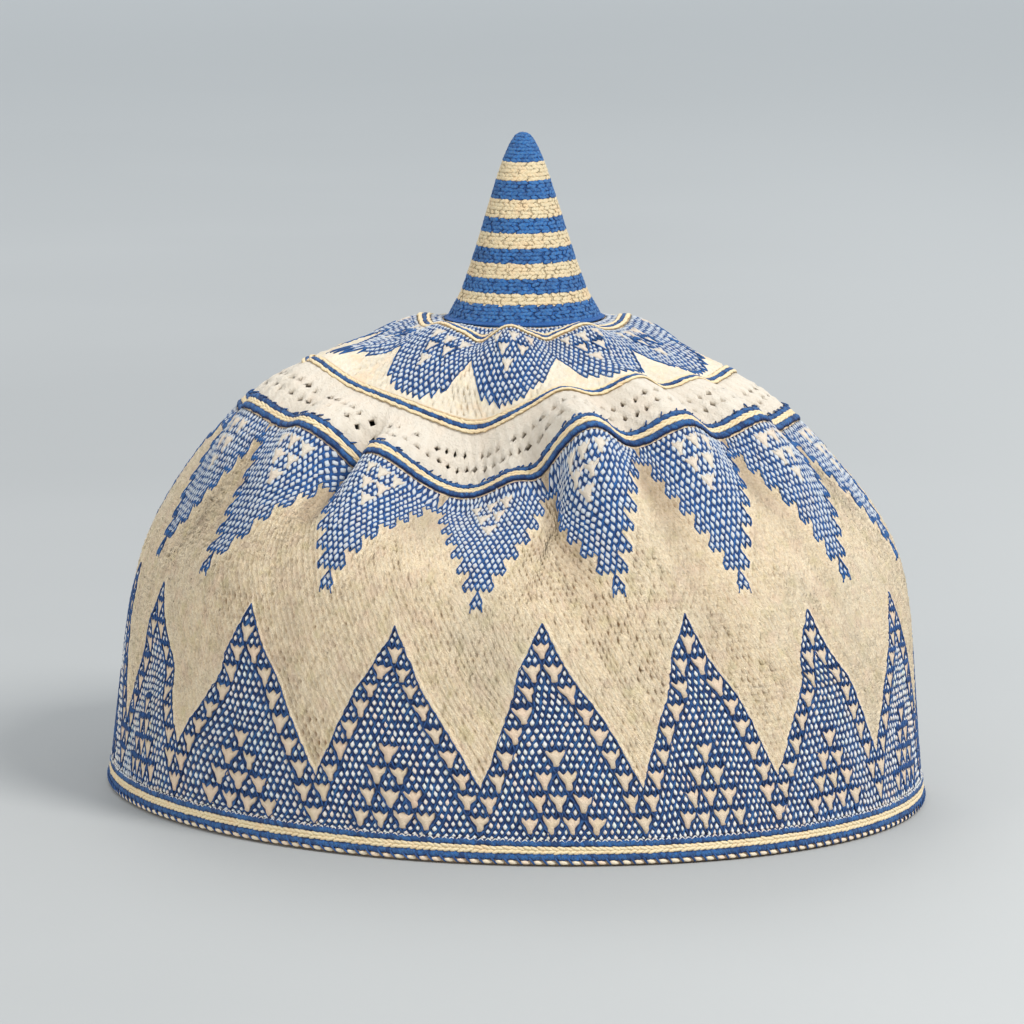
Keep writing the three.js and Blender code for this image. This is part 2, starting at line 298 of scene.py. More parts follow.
def dome_over(corners, shoulder, middle=(0.0, 0.0)):
    """A closed dome over the corners of a foot: a ring at its shoulder and one point on top."""
    sides = len(corners)
    foot = np.array([(x, y, 0.0) for x, y in corners])
    middle = np.array([*middle, 0.0])
    ring = middle + (foot - middle) * shoulder + [0, 0, 0.74]
    points = np.vstack([foot, ring, [middle + [0, 0, 1]], [middle]])
    here = np.arange(sides)
    following = (here + 1) % sides
    faces = [
        np.stack([here, following, following + sides], axis=-1),
        np.stack([here, following + sides, here + sides], axis=-1),
        np.stack([here + sides, following + sides, np.full(sides, 2 * sides)], axis=-1),
        np.stack([following, here, np.full(sides, 2 * sides + 1)], axis=-1),
    ]
    return points, np.vstack(faces)


def tulip_form():
    """A padded tulip one unit wide and long, with three points on top and slightly uneven sides."""
    right = [(0.15, -0.50), (0.16, -0.32), (0.20, -0.14), (0.31, 0.02), (0.46, 0.18), (0.53, 0.46),
             (0.40, 0.43), (0.28, 0.28), (0.14, 0.36)]
    left = [(-x, y) for x, y in reversed(right)]
    corners = np.array(right + [(0.0, 0.47)] + left)
    corners += 0.07 * (DRAW.random(corners.shape) - 0.5)
    return dome_over(corners, 0.86, (0.0, 0.02))


# A stitch one unit wide and long, seen from outside: a kite with its longer point upwards, a diamond
# with its side corners cut short, and a length of yarn that tapers to both sides.
KITE = dome_over([(0, 0.5), (-0.5, 0.02), (-0.33, -0.32), (0, -0.5), (0.33, -0.32), (0.5, 0.02)], 0.72)
DIAMOND = dome_over([(0, 0.5), (-0.5, 0.12), (-0.5, -0.12), (0, -0.5), (0.5, -0.12), (0.5, 0.12)], 0.76)
YARN = dome_over([(0.5, 0), (0.24, 0.5), (-0.24, 0.5), (-0.5, 0), (-0.24, -0.5), (0.24, -0.5)], 0.55)


def closed_ring(columns, section, surface, rise):
    """A closed ring that carries a section of (arc, lift) round the cap, with one rise all over."""
    azimuth = 360 * np.arange(columns)[:, None] / columns
    arcs, lifts = np.asarray(section, float).T
    points = surface(azimuth, arcs + 0 * azimuth, lifts + 0 * azimuth).reshape(-1, 3)
    across = len(section)
    column, row = np.meshgrid(np.arange(columns), np.arange(across), indexing="ij")
    following = (column + 1) % columns
    above = (row + 1) % across
    a, b = column * across + row, following * across + row
    c, d = following * across + above, column * across + above
    triangles = np.concatenate([np.stack([a, b, c], -1), np.stack([a, c, d], -1)], axis=2).reshape(-1, 3)
    return Shape(points, triangles, np.full(len(points), rise), np.full(len(points), 0.5))


def strands(paths, surface, radius, sides=3):
    """Closed tubes through short paths of (azimuth, arc, lift). paths is (count, points, 3)."""
    count, steps = paths.shape[:2]
    azimuth, arc, lift = np.moveaxis(paths, -1, 0)
    middle = surface(azimuth, arc, lift)
    outer = surface(azimuth, arc, lift + 1.0)
    outwards = outer - middle
    along = np.gradient(middle, axis=1)
    along /= np.linalg.norm(along, axis=-1, keepdims=True)
    sideways = np.cross(outwards, along)
    sideways /= np.linalg.norm(sideways, axis=-1, keepdims=True)
    upwards = np.cross(along, sideways)
    angle = np.pi / 2 + 2 * np.pi * np.arange(sides) / sides
    ring = radius * (
        sideways[:, :, None] * np.cos(angle)[None, None, :, None]
        + upwards[:, :, None] * np.sin(angle)[None, None, :, None]
    )
    points = (middle[:, :, None] + ring).reshape(-1, 3)
    faces = []
    for step in range(steps - 1):
        for side in range(sides):
            a = step * sides + side
            b = step * sides + (side + 1) % sides
            faces += [(a, b, b + sides), (a, b + sides, a + sides)]
    last = (steps - 1) * sides
    for side in range(1, sides - 1):
        faces += [(0, side + 1, side), (last, last + side, last + side + 1)]
    starts = np.arange(count)[:, None, None] * steps * sides
    triangles = (np.array(faces)[None] + starts).reshape(-1, 3)
    # The rise is low on the side towards the cloth, which the materials paint in shade, and high on the outer
    # side, painted as wear and highlight.
    rise = np.tile(np.sin(angle) * 0.5 + 0.5, count * steps)
    tint = np.repeat(DRAW.random(count), steps * sides)
    return Shape(points, triangles[:, ::-1], rise, tint)


def joined(*shapes):
    """Several shapes as one, without the values of a sheet."""
    starts = np.cumsum([0] + [len(shape.points) for shape in shapes])
    return Shape(
        np.vstack([shape.points for shape in shapes]),
        np.vstack([shape.triangles + start for shape, start in zip(shapes, starts)]),
        np.concatenate([shape.rise for shape in shapes]),
        np.concatenate([shape.tint for shape in shapes]),
    )


# The charts of the colourwork, in half stitches

FIELD, NETTED = 0, 1
FIRST_TULIP = 2
REPEAT = 23
REPEATS = 16
POINT_ROWS = 30
GAP_ROWS = 4
HANGING_ROWS = 24
HANGING_FOOT = POINT_ROWS + GAP_ROWS
WALL_ROWS = HANGING_FOOT + HANGING_ROWS
HANGING_AXIS = 24
PETAL = 17
PETALS = 11
CROWN_ROWS = 16
PETAL_REACH = {8: 16, 9: 14, 10: 13, 11: 12, 12: 11, 13: 10, 14: 8, 15: 5, 16: -1}


def add_tulip(chart, row, centre):
    """A cream triangle on its point: rows of 3, 2 and 1 stitches, downwards. Each has its own number."""
    number = max(chart.max() + 1, FIRST_TULIP)
    for step in range(3):
        for place in range(step - 2, 3 - step, 2):
            if 0 <= row - step < len(chart):
                chart[row - step, (centre + place) % chart.shape[1]] = number


def wall_chart():
    """The wall over one repeat: tall points below, hanging points above. Row 0 is at the hem.

    Also gives the places of the cream triangles, as (half stitch, row) of their middles.
    """
    chart = np.zeros((WALL_ROWS, 2 * REPEAT), int)
    tulips = []
    for down in range(1, POINT_ROWS + 1):
        reach = down - 1 if down <= REPEAT else REPEAT
        for place in range(-reach, reach + 1):
            chart[POINT_ROWS - down, place % (2 * REPEAT)] = NETTED
    for down in range(3, 22, 3):
        tulips += [(down - 3, POINT_ROWS - down)] + [(3 - down, POINT_ROWS - down)] * (down > 3)
    inner = {18: (-1,), 21: (-4, 2), 24: (-7, -1, 5, 19, 25), 27: (-10, -4, 2, 8, 22)}
    tulips += [(centre, POINT_ROWS - down) for down, centres in inner.items() for centre in centres]
    for up in range(1, HANGING_ROWS + 1):
        level, step = divmod(up - 1, 3)
        dots_across = min(3 * (level + 1) - 1 - step, REPEAT)
        for place in range(-(dots_across - 1), dots_across, 2):
            chart[HANGING_FOOT + up - 1, (HANGING_AXIS + place) % (2 * REPEAT)] = NETTED
    for up, centres in {23: (-6, 0, 6), 20: (-3, 3), 17: (0,)}.items():
        tulips += [(HANGING_AXIS + centre, HANGING_FOOT + up - 1) for centre in centres]
    for centre, row in tulips:
        add_tulip(chart, row, centre)
    return chart, [(centre, row - 1) for centre, row in tulips]


def crown_chart():
    """The crown over one petal. Row 0 is at the upper stripe, and the last row is at the crown stripe."""
    chart = np.zeros((CROWN_ROWS, 2 * PETAL), int)
    tulips = []
    for down in range(1, CROWN_ROWS + 1):
        reach = PETAL_REACH.get(down, PETAL)
        for place in range(-reach, reach + 1):
            chart[CROWN_ROWS - down, place % (2 * PETAL)] = NETTED
    for down, centres in {2: (-8, 0, 8), 5: (-5, 3), 8: (-2,)}.items():
        tulips += [(centre + (down + CROWN_ROWS) % 2, CROWN_ROWS - down) for centre in centres]
    for centre, row in tulips:
        add_tulip(chart, row, centre)
    return chart, [(centre, row - 1) for centre, row in tulips]


# Where the stitches lie. Handwork is uneven, so the rows and columns wander a little.

WALL_FOOT = 5.3
GAP_TOP = 56.4
WALL_TOP = 91.6
APEX = 224.3
CROWN_FOOT = 111.9
CROWN_TOP = 135.3
PETAL_AXIS = 219.5
RING_FOOT = 138.0
RING_TOP = 140.6
RING_STITCHES = 120
RING_ROWS = 2

# Drifts of the pattern: azimuth and arc of a place, its turn in degrees and its rise in millimetres.
DRIFTS = np.array([
    (157, 51, -2.5, -0.3), (179, 51, -1.6, -1.0), (202, 51, 1.2, -1.8), (224, 51, -0.7, 0.2),
    (247, 51, -2.1, 1.1), (269, 51, -3.0, 0.0), (292, 51, -0.5, -1.0), (168, 17, -4.0, 0.8),
    (190, 17, 0.9, -1.2), (213, 17, 2.5, -0.8), (236, 17, 2.2, -0.6), (258, 17, 0.7, -0.8),
    (281, 17, 0.2, 0.8), (179, 22, 0.0, -1.0), (201, 22, 1.1, 0.0), (224, 22, 1.7, 0.3),
    (246, 22, 0.4, 1.0), (269, 22, 0.4, 0.5), (168, 8, -3.0, -0.8), (179, 8, 0.8, -1.4),
    (190, 8, 2.5, -1.2), (202, 8, 2.3, -0.8), (213, 8, 3.3, -0.6), (224, 8, 3.0, -0.6),
    (235, 8, 3.6, -0.8), (246, 8, 1.8, 0.3), (258, 8, 1.4, 0.3), (269, 8, 1.5, 0.4),
    (280, 8, 1.9, 0.0), (168, 57, -4.0, 0.0), (191, 57, -0.4, 0.8), (213, 57, 0.7, -2.2),
    (236, 57, -0.7, 2.0), (258, 57, -3.6, 1.3), (281, 57, -3.2, 0.4), (191, 79, 1.8, 0.0),
    (168, 68, 2.0, 0.0), (168, 80, 6.0, 0.0), (168, 90, 6.0, 0.0), (146, 57, 2.0, 0.0),
    (146, 68, 5.0, 0.0), (146, 80, 9.0, 0.0), (146, 90, 9.0, 0.0), (126, 75, 0.0, 0.0),
    (180, 90, 4.0, 0.0), (213, 79, 2.3, -5.6), (236, 79, -4.0, 0.0), (258, 79, -4.2, 0.5),
    (213, 88, 1.5, -2.2), (191, 68, 0.2, 0.4), (213, 68, 1.5, -3.9), (236, 68, -2.4, 1.0),
    (258, 68, -3.9, 0.9), (205, 82, 0.6, -4.0), (221, 82, 3.0, -4.0), (281, 68, -3.5, 0.3),
    (281, 79, -5.0, 0.0), (281, 88, -6.5, 0.0), (270, 88, -5.0, 0.0), (258, 88, -4.0, 0.0),
    (303, 57, -3.0, 0.0), (303, 68, -5.0, 0.0), (303, 79, -7.0, 0.0), (303, 88, -8.0, 0.0),
    (325, 75, 0.0, 0.0),
])

# The same for the petals at the left of the crown, which end short of the stripe.
CROWN_DRIFTS = np.array([
    (154, 113, 0, 7.0), (154, 119, 0, 5.0), (154, 126, 0, 2.5), (138, 113, 0, 5.0), (138, 119, 0, 3.5),
    (121, 113, 0, 0), (121, 119, 0, 0), (174, 113, 0, 0), (174, 119, 0, 0),
])

# How far a drift reaches, in degrees round the cap and in millimetres of arc.
DRIFT_REACH = (8.0, 8.0)
# The weight of no drift at all, which wins far from every one of them.
DRIFT_FADE = 0.08


def wobble(azimuth, arc, seed, turns=(3, 7, 13, 29), spans=(41.0, 23.0, 13.0, 7.0)):
    """A slow uneven change over the cloth, from -1 to 1."""
    shift = np.random.default_rng(seed).random(len(turns)) * 7
    angle = np.radians(np.asarray(azimuth)[..., None] * np.array(turns)) + shift
    return np.sin(angle + np.asarray(arc)[..., None] * 2 / np.array(spans)).mean(axis=-1)


class Lattice:
    """Staggered stitches round the cap: where each one lies and what it shows."""

    def __init__(self, chart, repeats, axis, row_marks, arc_marks, drifts=()):
        self.rows = len(chart)
        self.half = chart.shape[1] * repeats
        self.count = self.half // 2
        self.axis = axis
        self.row_marks = row_marks
        self.arc_marks = arc_marks
        self.offset = (np.arange(self.rows) + self.rows + 1) % 2
        self.drifts = drifts
        row = np.arange(self.rows)[:, None]
        self.cell_half = 2 * np.arange(self.count)[None] + self.offset[:, None]
        self.kind = chart[row, self.cell_half % chart.shape[1]]

    def place(self, half_place, row_place):
        """Azimuth and arc of a place in the lattice, counted in half stitches and rows."""
        azimuth = self.axis + np.asarray(half_place, float) * 360 / self.half
        arc = np.interp(np.asarray(row_place, float) + 0.5, self.row_marks, self.arc_marks)
        azimuth, arc = np.broadcast_arrays(azimuth, arc)
        inside = np.clip(np.minimum(arc - self.arc_marks[0], self.arc_marks[-1] - arc) / 3, 0, 1)
        turn = 0.26 * wobble(azimuth, arc, 3, (17, 31, 47, 71), (19.0, 11.0, 7.0, 5.0))
        rise = 0.34 * wobble(azimuth, arc, 4, (11, 23, 37, 59), (23.0, 13.0, 9.0, 6.0))
        weight_sum = np.full(azimuth.shape, DRIFT_FADE)
        turn_sum = np.zeros(azimuth.shape)
        rise_sum = np.zeros(azimuth.shape)
        for at, height, turned, risen in self.drifts:
            away = ((azimuth - at + 180) % 360 - 180) / DRIFT_REACH[0]
            weight = np.exp(-(away**2) - ((arc - height) / DRIFT_REACH[1]) ** 2)
            weight_sum += weight
            turn_sum += weight * turned
            rise_sum += weight * risen
        turn = turn + turn_sum / weight_sum
        rise = rise + rise_sum / weight_sum
        return azimuth + turn, arc + rise * inside

    def stitch(self, half_place, row_place):
        """A stitch's width and height there, and how far it leans sideways for each millimetre up."""
        azimuth, arc = self.place(half_place, row_place)
        left, _ = self.place(half_place - 1, row_place)
        right, _ = self.place(half_place + 1, row_place)
        low_azimuth, low_arc = self.place(half_place, row_place - 0.5)
        high_azimuth, high_arc = self.place(half_place, row_place + 0.5)
        radius = radius_on_cap(azimuth, arc)
        height = high_arc - low_arc
        lean = radius * np.radians(high_azimuth - low_azimuth) / height
        return radius * np.radians(right - left), height, lean


def radius_on_cap(azimuth, arc):
    return np.interp(arc, OUTLINE_ARC, OUTLINE[:, 0]) + np.zeros(np.shape(azimuth))


# How far the sheet stands out at a stitch's middle, at its side corners and on its two kinds of edge.
NETTED_LIFT = {"centre": -0.36, "crossing": 0.16, "bold": 0.24, "fine": 0.10}
PLAIN_LIFT = {"centre": 0.32, "crossing": -0.20, "bold": 0.20, "fine": -0.12}
TULIP_LIFT = {"centre": 0.0, "crossing": 0.0, "bold": 0.06, "fine": 0.0}
PIT_DEPTH = 0.72

# The finishes of a sheet, in the order that its piece lists them
PLAIN_FACE, LOW_FACE, INNER_FACE, HIGH_FACE = range(4)


def cloth(lattice, foot_edge, top_edge, inner_rows, high_from):
    """The sheet under the stitches: a diamond for each stitch, closed by an inner face.

    The netted stitches have the low face, and from the row high_from upwards the high face.
    """
    rows, count, half = lattice.rows, lattice.count, lattice.half
    i = np.arange(count)[None]
    j = np.arange(rows)[:, None]
    netted = lattice.kind == NETTED
    centre = j * count + i
    crossing = rows * count + centre
    between_start = 2 * rows * count
    k = np.arange(half)[None]
    ring_start = between_start + (rows - 1) * half
    foot_ring = ring_start + np.arange(half)
    top_ring = foot_ring + half
    places = [
        np.stack([lattice.cell_half + 0 * j, j + 0 * i], -1).reshape(-1, 2),
        np.stack([lattice.cell_half + 1, j + 0 * i], -1).reshape(-1, 2),
        np.stack([k + 0.5 + 0 * j[:-1], j[:-1] + 0.5 + 0 * k], -1).reshape(-1, 2),
        np.stack([k[0], np.full(half, -0.5)], -1),
        np.stack([k[0], np.full(half, rows - 0.5)], -1),
    ]
    places = np.vstack(places).astype(float)

    kinds = np.zeros((rows, half), int)
    np.put_along_axis(kinds, lattice.cell_half % half, np.minimum(lattice.kind, FIRST_TULIP), axis=1)
    at_crossing = (lattice.cell_half + 1) % half
    around = [np.roll(kinds, -1, axis=1), np.roll(kinds, 1, axis=1),
              np.vstack([kinds[1:], kinds[-1:]]), np.vstack([kinds[:1], kinds[:-1]])]
    around = np.stack([np.take_along_axis(side, at_crossing, axis=1) for side in around])
    lower = np.maximum(kinds, np.roll(kinds, -1, axis=1))
    pairs = np.stack([lower[:-1], lower[1:]])
    bold = (k - lattice.offset[:-1, None]) % 2 == 1

    def level(neighbours, role):
        any_netted = (neighbours == NETTED).any(axis=0)
        all_tulip = (neighbours == FIRST_TULIP).all(axis=0)
        plain = np.where(all_tulip, TULIP_LIFT[role], PLAIN_LIFT[role])
        return np.where(any_netted, NETTED_LIFT[role], plain)

    centre_kinds = np.minimum(lattice.kind, FIRST_TULIP)[None]
    crossings = level(around, "crossing")
    azimuth, arc = lattice.place(lattice.cell_half, j + 0 * i)
    patch = 0.62 + 0.75 * wobble(azimuth, arc, 8, (5, 11, 19), (31.0, 17.0, 9.0))
    pit = PIT_DEPTH * DRAW.random(crossings.shape) ** 0.8 * np.clip(patch, 0.5, 1.2)
    crossings = np.where((around == FIELD).all(axis=0), crossings - pit, crossings)
    lift = np.concatenate([
        level(centre_kinds, "centre").ravel(),
        crossings.ravel(),
        np.where(bold, level(pairs, "bold"), level(pairs, "fine")).ravel(),
        np.full(2 * half, -0.1),
    ])
    lift[:ring_start] += (0.22 * (DRAW.random(len(lift)) - 0.5))[:ring_start]
    jitter = (DRAW.random((len(places), 2)) - 0.5) * [0.34, 0.30]
    jitter[ring_start:] = 0
    jitter[:between_start // 2, 0] += np.where(netted.ravel(), 0, 0.12)
    azimuth, arc = lattice.place(places[:, 0] + jitter[:, 0], places[:, 1] + jitter[:, 1])

    first = lattice.offset[:, None]
    above_right = between_start + j * half + (2 * i + first) % half
    above_left = between_start + j * half + (2 * i + first - 1) % half
    top_point = rows * count + (j + 1) * count + (i + first - 1) % count
    below_right = between_start + (j - 1) * half + (2 * i + first) % half
    below_left = between_start + (j - 1) * half + (2 * i + first - 1) % half
    low_point = rows * count + (j - 1) * count + (i + first - 1) % count
    top = j + 0 * i == rows - 1
    bottom = j + 0 * i == 0
    at = 2 * i + first
    above_right = np.where(top, top_ring[(at + 1) % half], above_right)
    top_point = np.where(top, top_ring[at % half], top_point)
    above_left = np.where(top, top_ring[(at - 1) % half], above_left)
    below_right = np.where(bottom, foot_ring[(at + 1) % half], below_right)
    low_point = np.where(bottom, foot_ring[at % half], low_point)
    below_left = np.where(bottom, foot_ring[(at - 1) % half], below_left)
    rim = [crossing, above_right, top_point, above_left, j * count + rows * count + (i - 1) % count,
           below_left, low_point, below_right]
    fans = [np.stack([centre, rim[n], rim[(n + 1) % 8]], -1) for n in range(8)]
    triangles = np.stack(fans, axis=2).reshape(-1, 3)
    netted_face = np.where(j + 0 * i >= high_from, HIGH_FACE, LOW_FACE)
    finish_of = np.repeat(np.where(lattice.kind == FIELD, PLAIN_FACE, netted_face).ravel(), 8)

    foot_azimuth = azimuth[foot_ring]
    rings = [(foot_edge, 0.0), (foot_edge, -WALL)]
    rings += [(a, -WALL) for a in np.linspace(foot_edge, top_edge, inner_rows)[1:-1]]
    rings += [(top_edge, -WALL), (top_edge, 0.0)]
    step = 2
    inner_columns = half // step
    low_turn = foot_azimuth[::step]
    high_turn = azimuth[top_ring][::step]
    start = len(azimuth)
    ring_of = []
    all_azimuth, all_arc, all_lift = [azimuth], [arc], [lift]
    for ring_arc, ring_lift in rings:
        share = (ring_arc - foot_edge) / (top_edge - foot_edge)
        ring_of.append(start + np.arange(inner_columns))
        all_azimuth.append(low_turn + (high_turn - low_turn) * share)
        all_arc.append(np.full(inner_columns, ring_arc))
        all_lift.append(np.full(inner_columns, ring_lift))
        start += inner_columns
    extra = []
    for low, high in zip(ring_of[:-1], ring_of[1:]):
        after = np.roll(low, -1)
        after_high = np.roll(high, -1)
        extra += [np.stack([low, high, after_high], -1), np.stack([low, after_high, after], -1)]
    for fine_ring, coarse_ring, flip in ((foot_ring, ring_of[0], False), (top_ring, ring_of[-1], True)):
        following = np.roll(coarse_ring, -1)
        parts = [np.stack([coarse_ring, following, fine_ring[::step] + step // 2], -1)]
        for n in range(step):
            fine = fine_ring[(np.arange(inner_columns) * step + n) % half]
            fine_next = fine_ring[(np.arange(inner_columns) * step + n + 1) % half]
            anchor = coarse_ring if n < step // 2 else following
            parts.append(np.stack([anchor, fine_next, fine], -1))
        block = np.vstack(parts)
        extra.append(block[:, ::-1] if flip else block)
    extra = np.vstack(extra)
    all_azimuth, all_arc, all_lift = map(np.concatenate, (all_azimuth, all_arc, all_lift))
    points = on_cap(all_azimuth, all_arc, all_lift)
    finish_of = np.concatenate([finish_of, np.full(len(extra), INNER_FACE)])
    # The rise follows the lift, so the pits and hollows of the sheet are painted in shade, and its highest
    # points get wear and a painted highlight.
    rise = np.clip(all_lift / 0.7 + 0.5, -1.2, 1)
    tint = DRAW.random(len(points))
    triangles = np.vstack([triangles, extra])
    grain = weave(all_azimuth, all_arc)
    return Shape(points, triangles, rise, tint, finish_of, grain, hollow(all_azimuth, all_arc))


def hollow(azimuth, arc):
    """From 0 to 1 where the cloth folds inwards, for the painted shade in its folds."""
    sides = fold_offset(azimuth + 4, arc) + fold_offset(azimuth - 4, arc)
    return np.clip((sides / 2 - fold_offset(azimuth, arc)) / 1.1, 0, 1)


def weave(azimuth, arc):
    """Places for the yarn's grain, which runs up to the left across the stitches."""
    radius = radius_on_cap(azimuth, arc)
    turned = np.radians(azimuth) + arc * 0.5 / 85
    return np.stack([radius * np.cos(turned), radius * np.sin(turned), arc * 0.30], -1)


def stitches(lattice, rows, form, width, length, height, lift):
    """The pale stitch in each netted diamond. Width is in stitches and length in rows."""
    lumps = Lumps(on_cap, form)
    row, column = np.nonzero(lattice.kind == NETTED)
    keep = (row >= rows[0]) & (row < rows[1])
    row, column = row[keep], column[keep]
    count = len(row)
    half_place = lattice.cell_half[row, column] + (DRAW.random(count) - 0.5) * 0.3
    row_place = row + (DRAW.random(count) - 0.5) * 0.24
    azimuth, arc = lattice.place(half_place, row_place)
    pitch, row_height, lean = lattice.stitch(half_place, row_place)
    wide = 1 + 0.34 * (DRAW.random(count) - 0.5)
    long = 1 + 0.34 * (DRAW.random(count) - 0.5)
    lumps.add(azimuth, arc, width * pitch * wide, length * row_height * long,
              height * (0.8 + 0.4 * DRAW.random(count)), lift, -lean, 24 * (DRAW.random(count) - 0.5))
    return lumps.mesh(radius_on_cap)


# How many uneven tulips there are to choose from, and their width in stitches and length in rows.
TULIP_KINDS = 7
TULIP_SIZE = (2.65, 2.75)


def tulips(lattice, places, repeats):
    """The cream triangles, each a padded shape with three points on top and a narrow foot."""
    half_place, row_place = np.array(places).T[..., None]
    half_place = half_place + lattice.half // repeats * np.arange(repeats)
    row_place = row_place + 0.05 + 0 * half_place
    half_place = half_place.ravel() + (DRAW.random(half_place.size) - 0.5) * 0.3
    row_place = row_place.ravel() + (DRAW.random(half_place.size) - 0.5) * 0.2
    azimuth, arc = lattice.place(half_place, row_place)
    pitch, row_height, lean = lattice.stitch(half_place, row_place)
    wide = 1 + 0.24 * (DRAW.random(len(azimuth)) - 0.5)
    long = 1 + 0.16 * (DRAW.random(len(azimuth)) - 0.5)
    turn = 16 * (DRAW.random(len(azimuth)) - 0.5)
    width = TULIP_SIZE[0] * pitch * wide
    length = TULIP_SIZE[1] * row_height * long
    kinds = []
    for number in range(TULIP_KINDS):
        some = slice(number, None, TULIP_KINDS)
        lumps = Lumps(on_cap, tulip_form())
        lumps.add(azimuth[some], arc[some], width[some], length[some], 0.44, -0.06, -lean[some], turn[some])
        kinds.append(lumps.mesh(radius_on_cap))
    return joined(*kinds)


# The blue strands' radius, and how far their corners wander in half stitches and rows.
OUTLINE_RADIUS = 0.21
OUTLINE_UNEVEN = (0.42, 0.30)


def outlines(lattice, rows):
    """The blue strands along every border of a point, a petal or a cream triangle."""
    half = lattice.half
    by_half = np.full((lattice.rows, half), -1)
    np.put_along_axis(by_half, lattice.cell_half % half, lattice.kind, axis=1)
    nudge = (DRAW.random((2 * half, 2 * lattice.rows + 1, 2)) - 0.5) * OUTLINE_UNEVEN

    def nudged(half_place, row_place):
        shift = nudge[(2 * half_place).astype(int) % (2 * half), int(2 * row_place)]
        return half_place + shift[:, 0], row_place + shift[:, 1]

    paths = []
    for row in range(rows[0], min(rows[1], lattice.rows - 1)):
        places = np.arange(half)
        lower = np.where(by_half[row] >= 0, by_half[row], np.roll(by_half[row], -1))
        upper = np.where(by_half[row + 1] >= 0, by_half[row + 1], np.roll(by_half[row + 1], -1))
        border = places[lower != upper]
        rising = np.where(by_half[row, border] >= 0, 1, -1)
        stops = [nudged(border + 0.5 + 0.5 * rising, row), nudged(border + 0.5, row + 0.5),
                 nudged(border + 0.5 - 0.5 * rising, row + 1)]
        paths.append(strand_path(lattice, stops, (0.24, 0.30, 0.24)))
    return strands(np.concatenate(paths), on_cap, OUTLINE_RADIUS)


def strand_path(lattice, stops, lifts):
    parts = []
    for (half_place, row_place), lift in zip(stops, lifts):
        azimuth, arc = lattice.place(half_place, row_place)
        parts.append(np.stack([azimuth, arc, np.full(len(azimuth), lift)], -1))
    return np.stack(parts, axis=1)


# How many steps of a hanging point carry short ends, from its tip upwards
LEG_LEVELS = 7


def legs(lattice):
    """The short blue ends that hang from the outer corners of each step of the hanging points."""
    corners = []
    for level in range(LEG_LEVELS):
        reach = 3 * (level + 1) - 2
        for side in (-1, 1):
            half = HANGING_AXIS + side * (reach + 0.35)
            corners.append((half, HANGING_FOOT + 3 * level - 0.15, side))
    half_place, row_place, side = np.array(corners).T[..., None]
    half_place = half_place + 2 * REPEAT * np.arange(REPEATS)
    row_place = (row_place + 0 * half_place).ravel()
    side = (side + 0 * half_place).ravel()
    half_place = half_place.ravel()
    reach = np.where(row_place < HANGING_FOOT + 1, 1.1, 0.15 + 0.5 * DRAW.random(len(side)))
    stops = [(half_place, row_place), (half_place + 0.35 * side * reach, row_place - 0.55 * reach),
             (half_place + 0.5 * side * reach, row_place - 1.15 * reach)]
    return strands(strand_path(lattice, stops, (0.36, 0.34, 0.10)), on_cap, 0.22)


# Materials

# The pit colour and the deep cream are painted shade for the hollows between the stitches; the worn blue is
# wear with a painted highlight.
NAVY = (0.004, 0.018, 0.085)
COBALT = (0.016, 0.120, 0.375)
WORN_HIGHLIGHT_BLUE = (0.080, 0.225, 0.450)
TAN = (0.700, 0.540, 0.350)
TAN_LIGHT = (0.800, 0.690, 0.500)
PIT_SHADE = (0.300, 0.150, 0.055)
PINK = (0.800, 0.580, 0.440)
OLIVE = (0.640, 0.540, 0.300)
CREAM_LIGHT = (0.880, 0.790, 0.570)
CREAM_SHADE = (0.460, 0.330, 0.160)
PEACH = (0.800, 0.540, 0.310)
OFF_WHITE = (0.690, 0.640, 0.540)
PALE = (0.690, 0.690, 0.660)
# Painted shade, darker and browner, where the cloth folds inwards.
FOLD_SHADE = (0.330, 0.220, 0.130)


def new_group(name, inputs, outputs):
    group = bpy.data.node_groups.new(name, "ShaderNodeTree")
    for title, kind, value in inputs:
        socket = group.interface.new_socket(title, in_out="INPUT", socket_type=kind)
        if value is not None:
            socket.default_value = value
    for title, kind in outputs:
        group.interface.new_socket(title, in_out="OUTPUT", socket_type=kind)
    return group, group.nodes.new("NodeGroupInput"), group.nodes.new("NodeGroupOutput")


def node(tree, kind, settings=None, **inputs):
    made = tree.nodes.new(kind)
    for key, value in (settings or {}).items():
        setattr(made, key, value)
    for title, value in inputs.items():
        socket = made.inputs[title.replace("_", " ")]
        if isinstance(value, bpy.types.NodeSocket):
            tree.links.new(value, socket)
        else:
            socket.default_value = value
    return made


def blend(tree, amount, low, high):
    """A colour between two others."""
    mixed = tree.nodes.new("ShaderNodeMix")
    mixed.data_type = "RGBA"
    for socket, value in ((mixed.inputs[0], amount), (mixed.inputs[6], low), (mixed.inputs[7], high)):
        if isinstance(value, bpy.types.NodeSocket):
            tree.links.new(value, socket)
        elif isinstance(value, tuple):
            socket.default_value = (*value, 1)
        else:
            socket.default_value = value
    return mixed.outputs[2]


def times(tree, value, factor):
    """One value times another, or times a constant."""
    made = node(tree, "ShaderNodeMath", {"operation": "MULTIPLY"})
    for socket, part in zip(made.inputs, (value, factor)):
        if isinstance(part, bpy.types.NodeSocket):
            tree.links.new(part, socket)
        else:
            socket.default_value = part
    return made.outputs[0]


def spread(tree, value, low, high):
    """A value from 0 to 1 as another runs from low to high."""
    return node(tree, "ShaderNodeMapRange", {"interpolation_type": "SMOOTHSTEP"},
                Value=value, From_Min=low, From_Max=high).outputs["Result"]


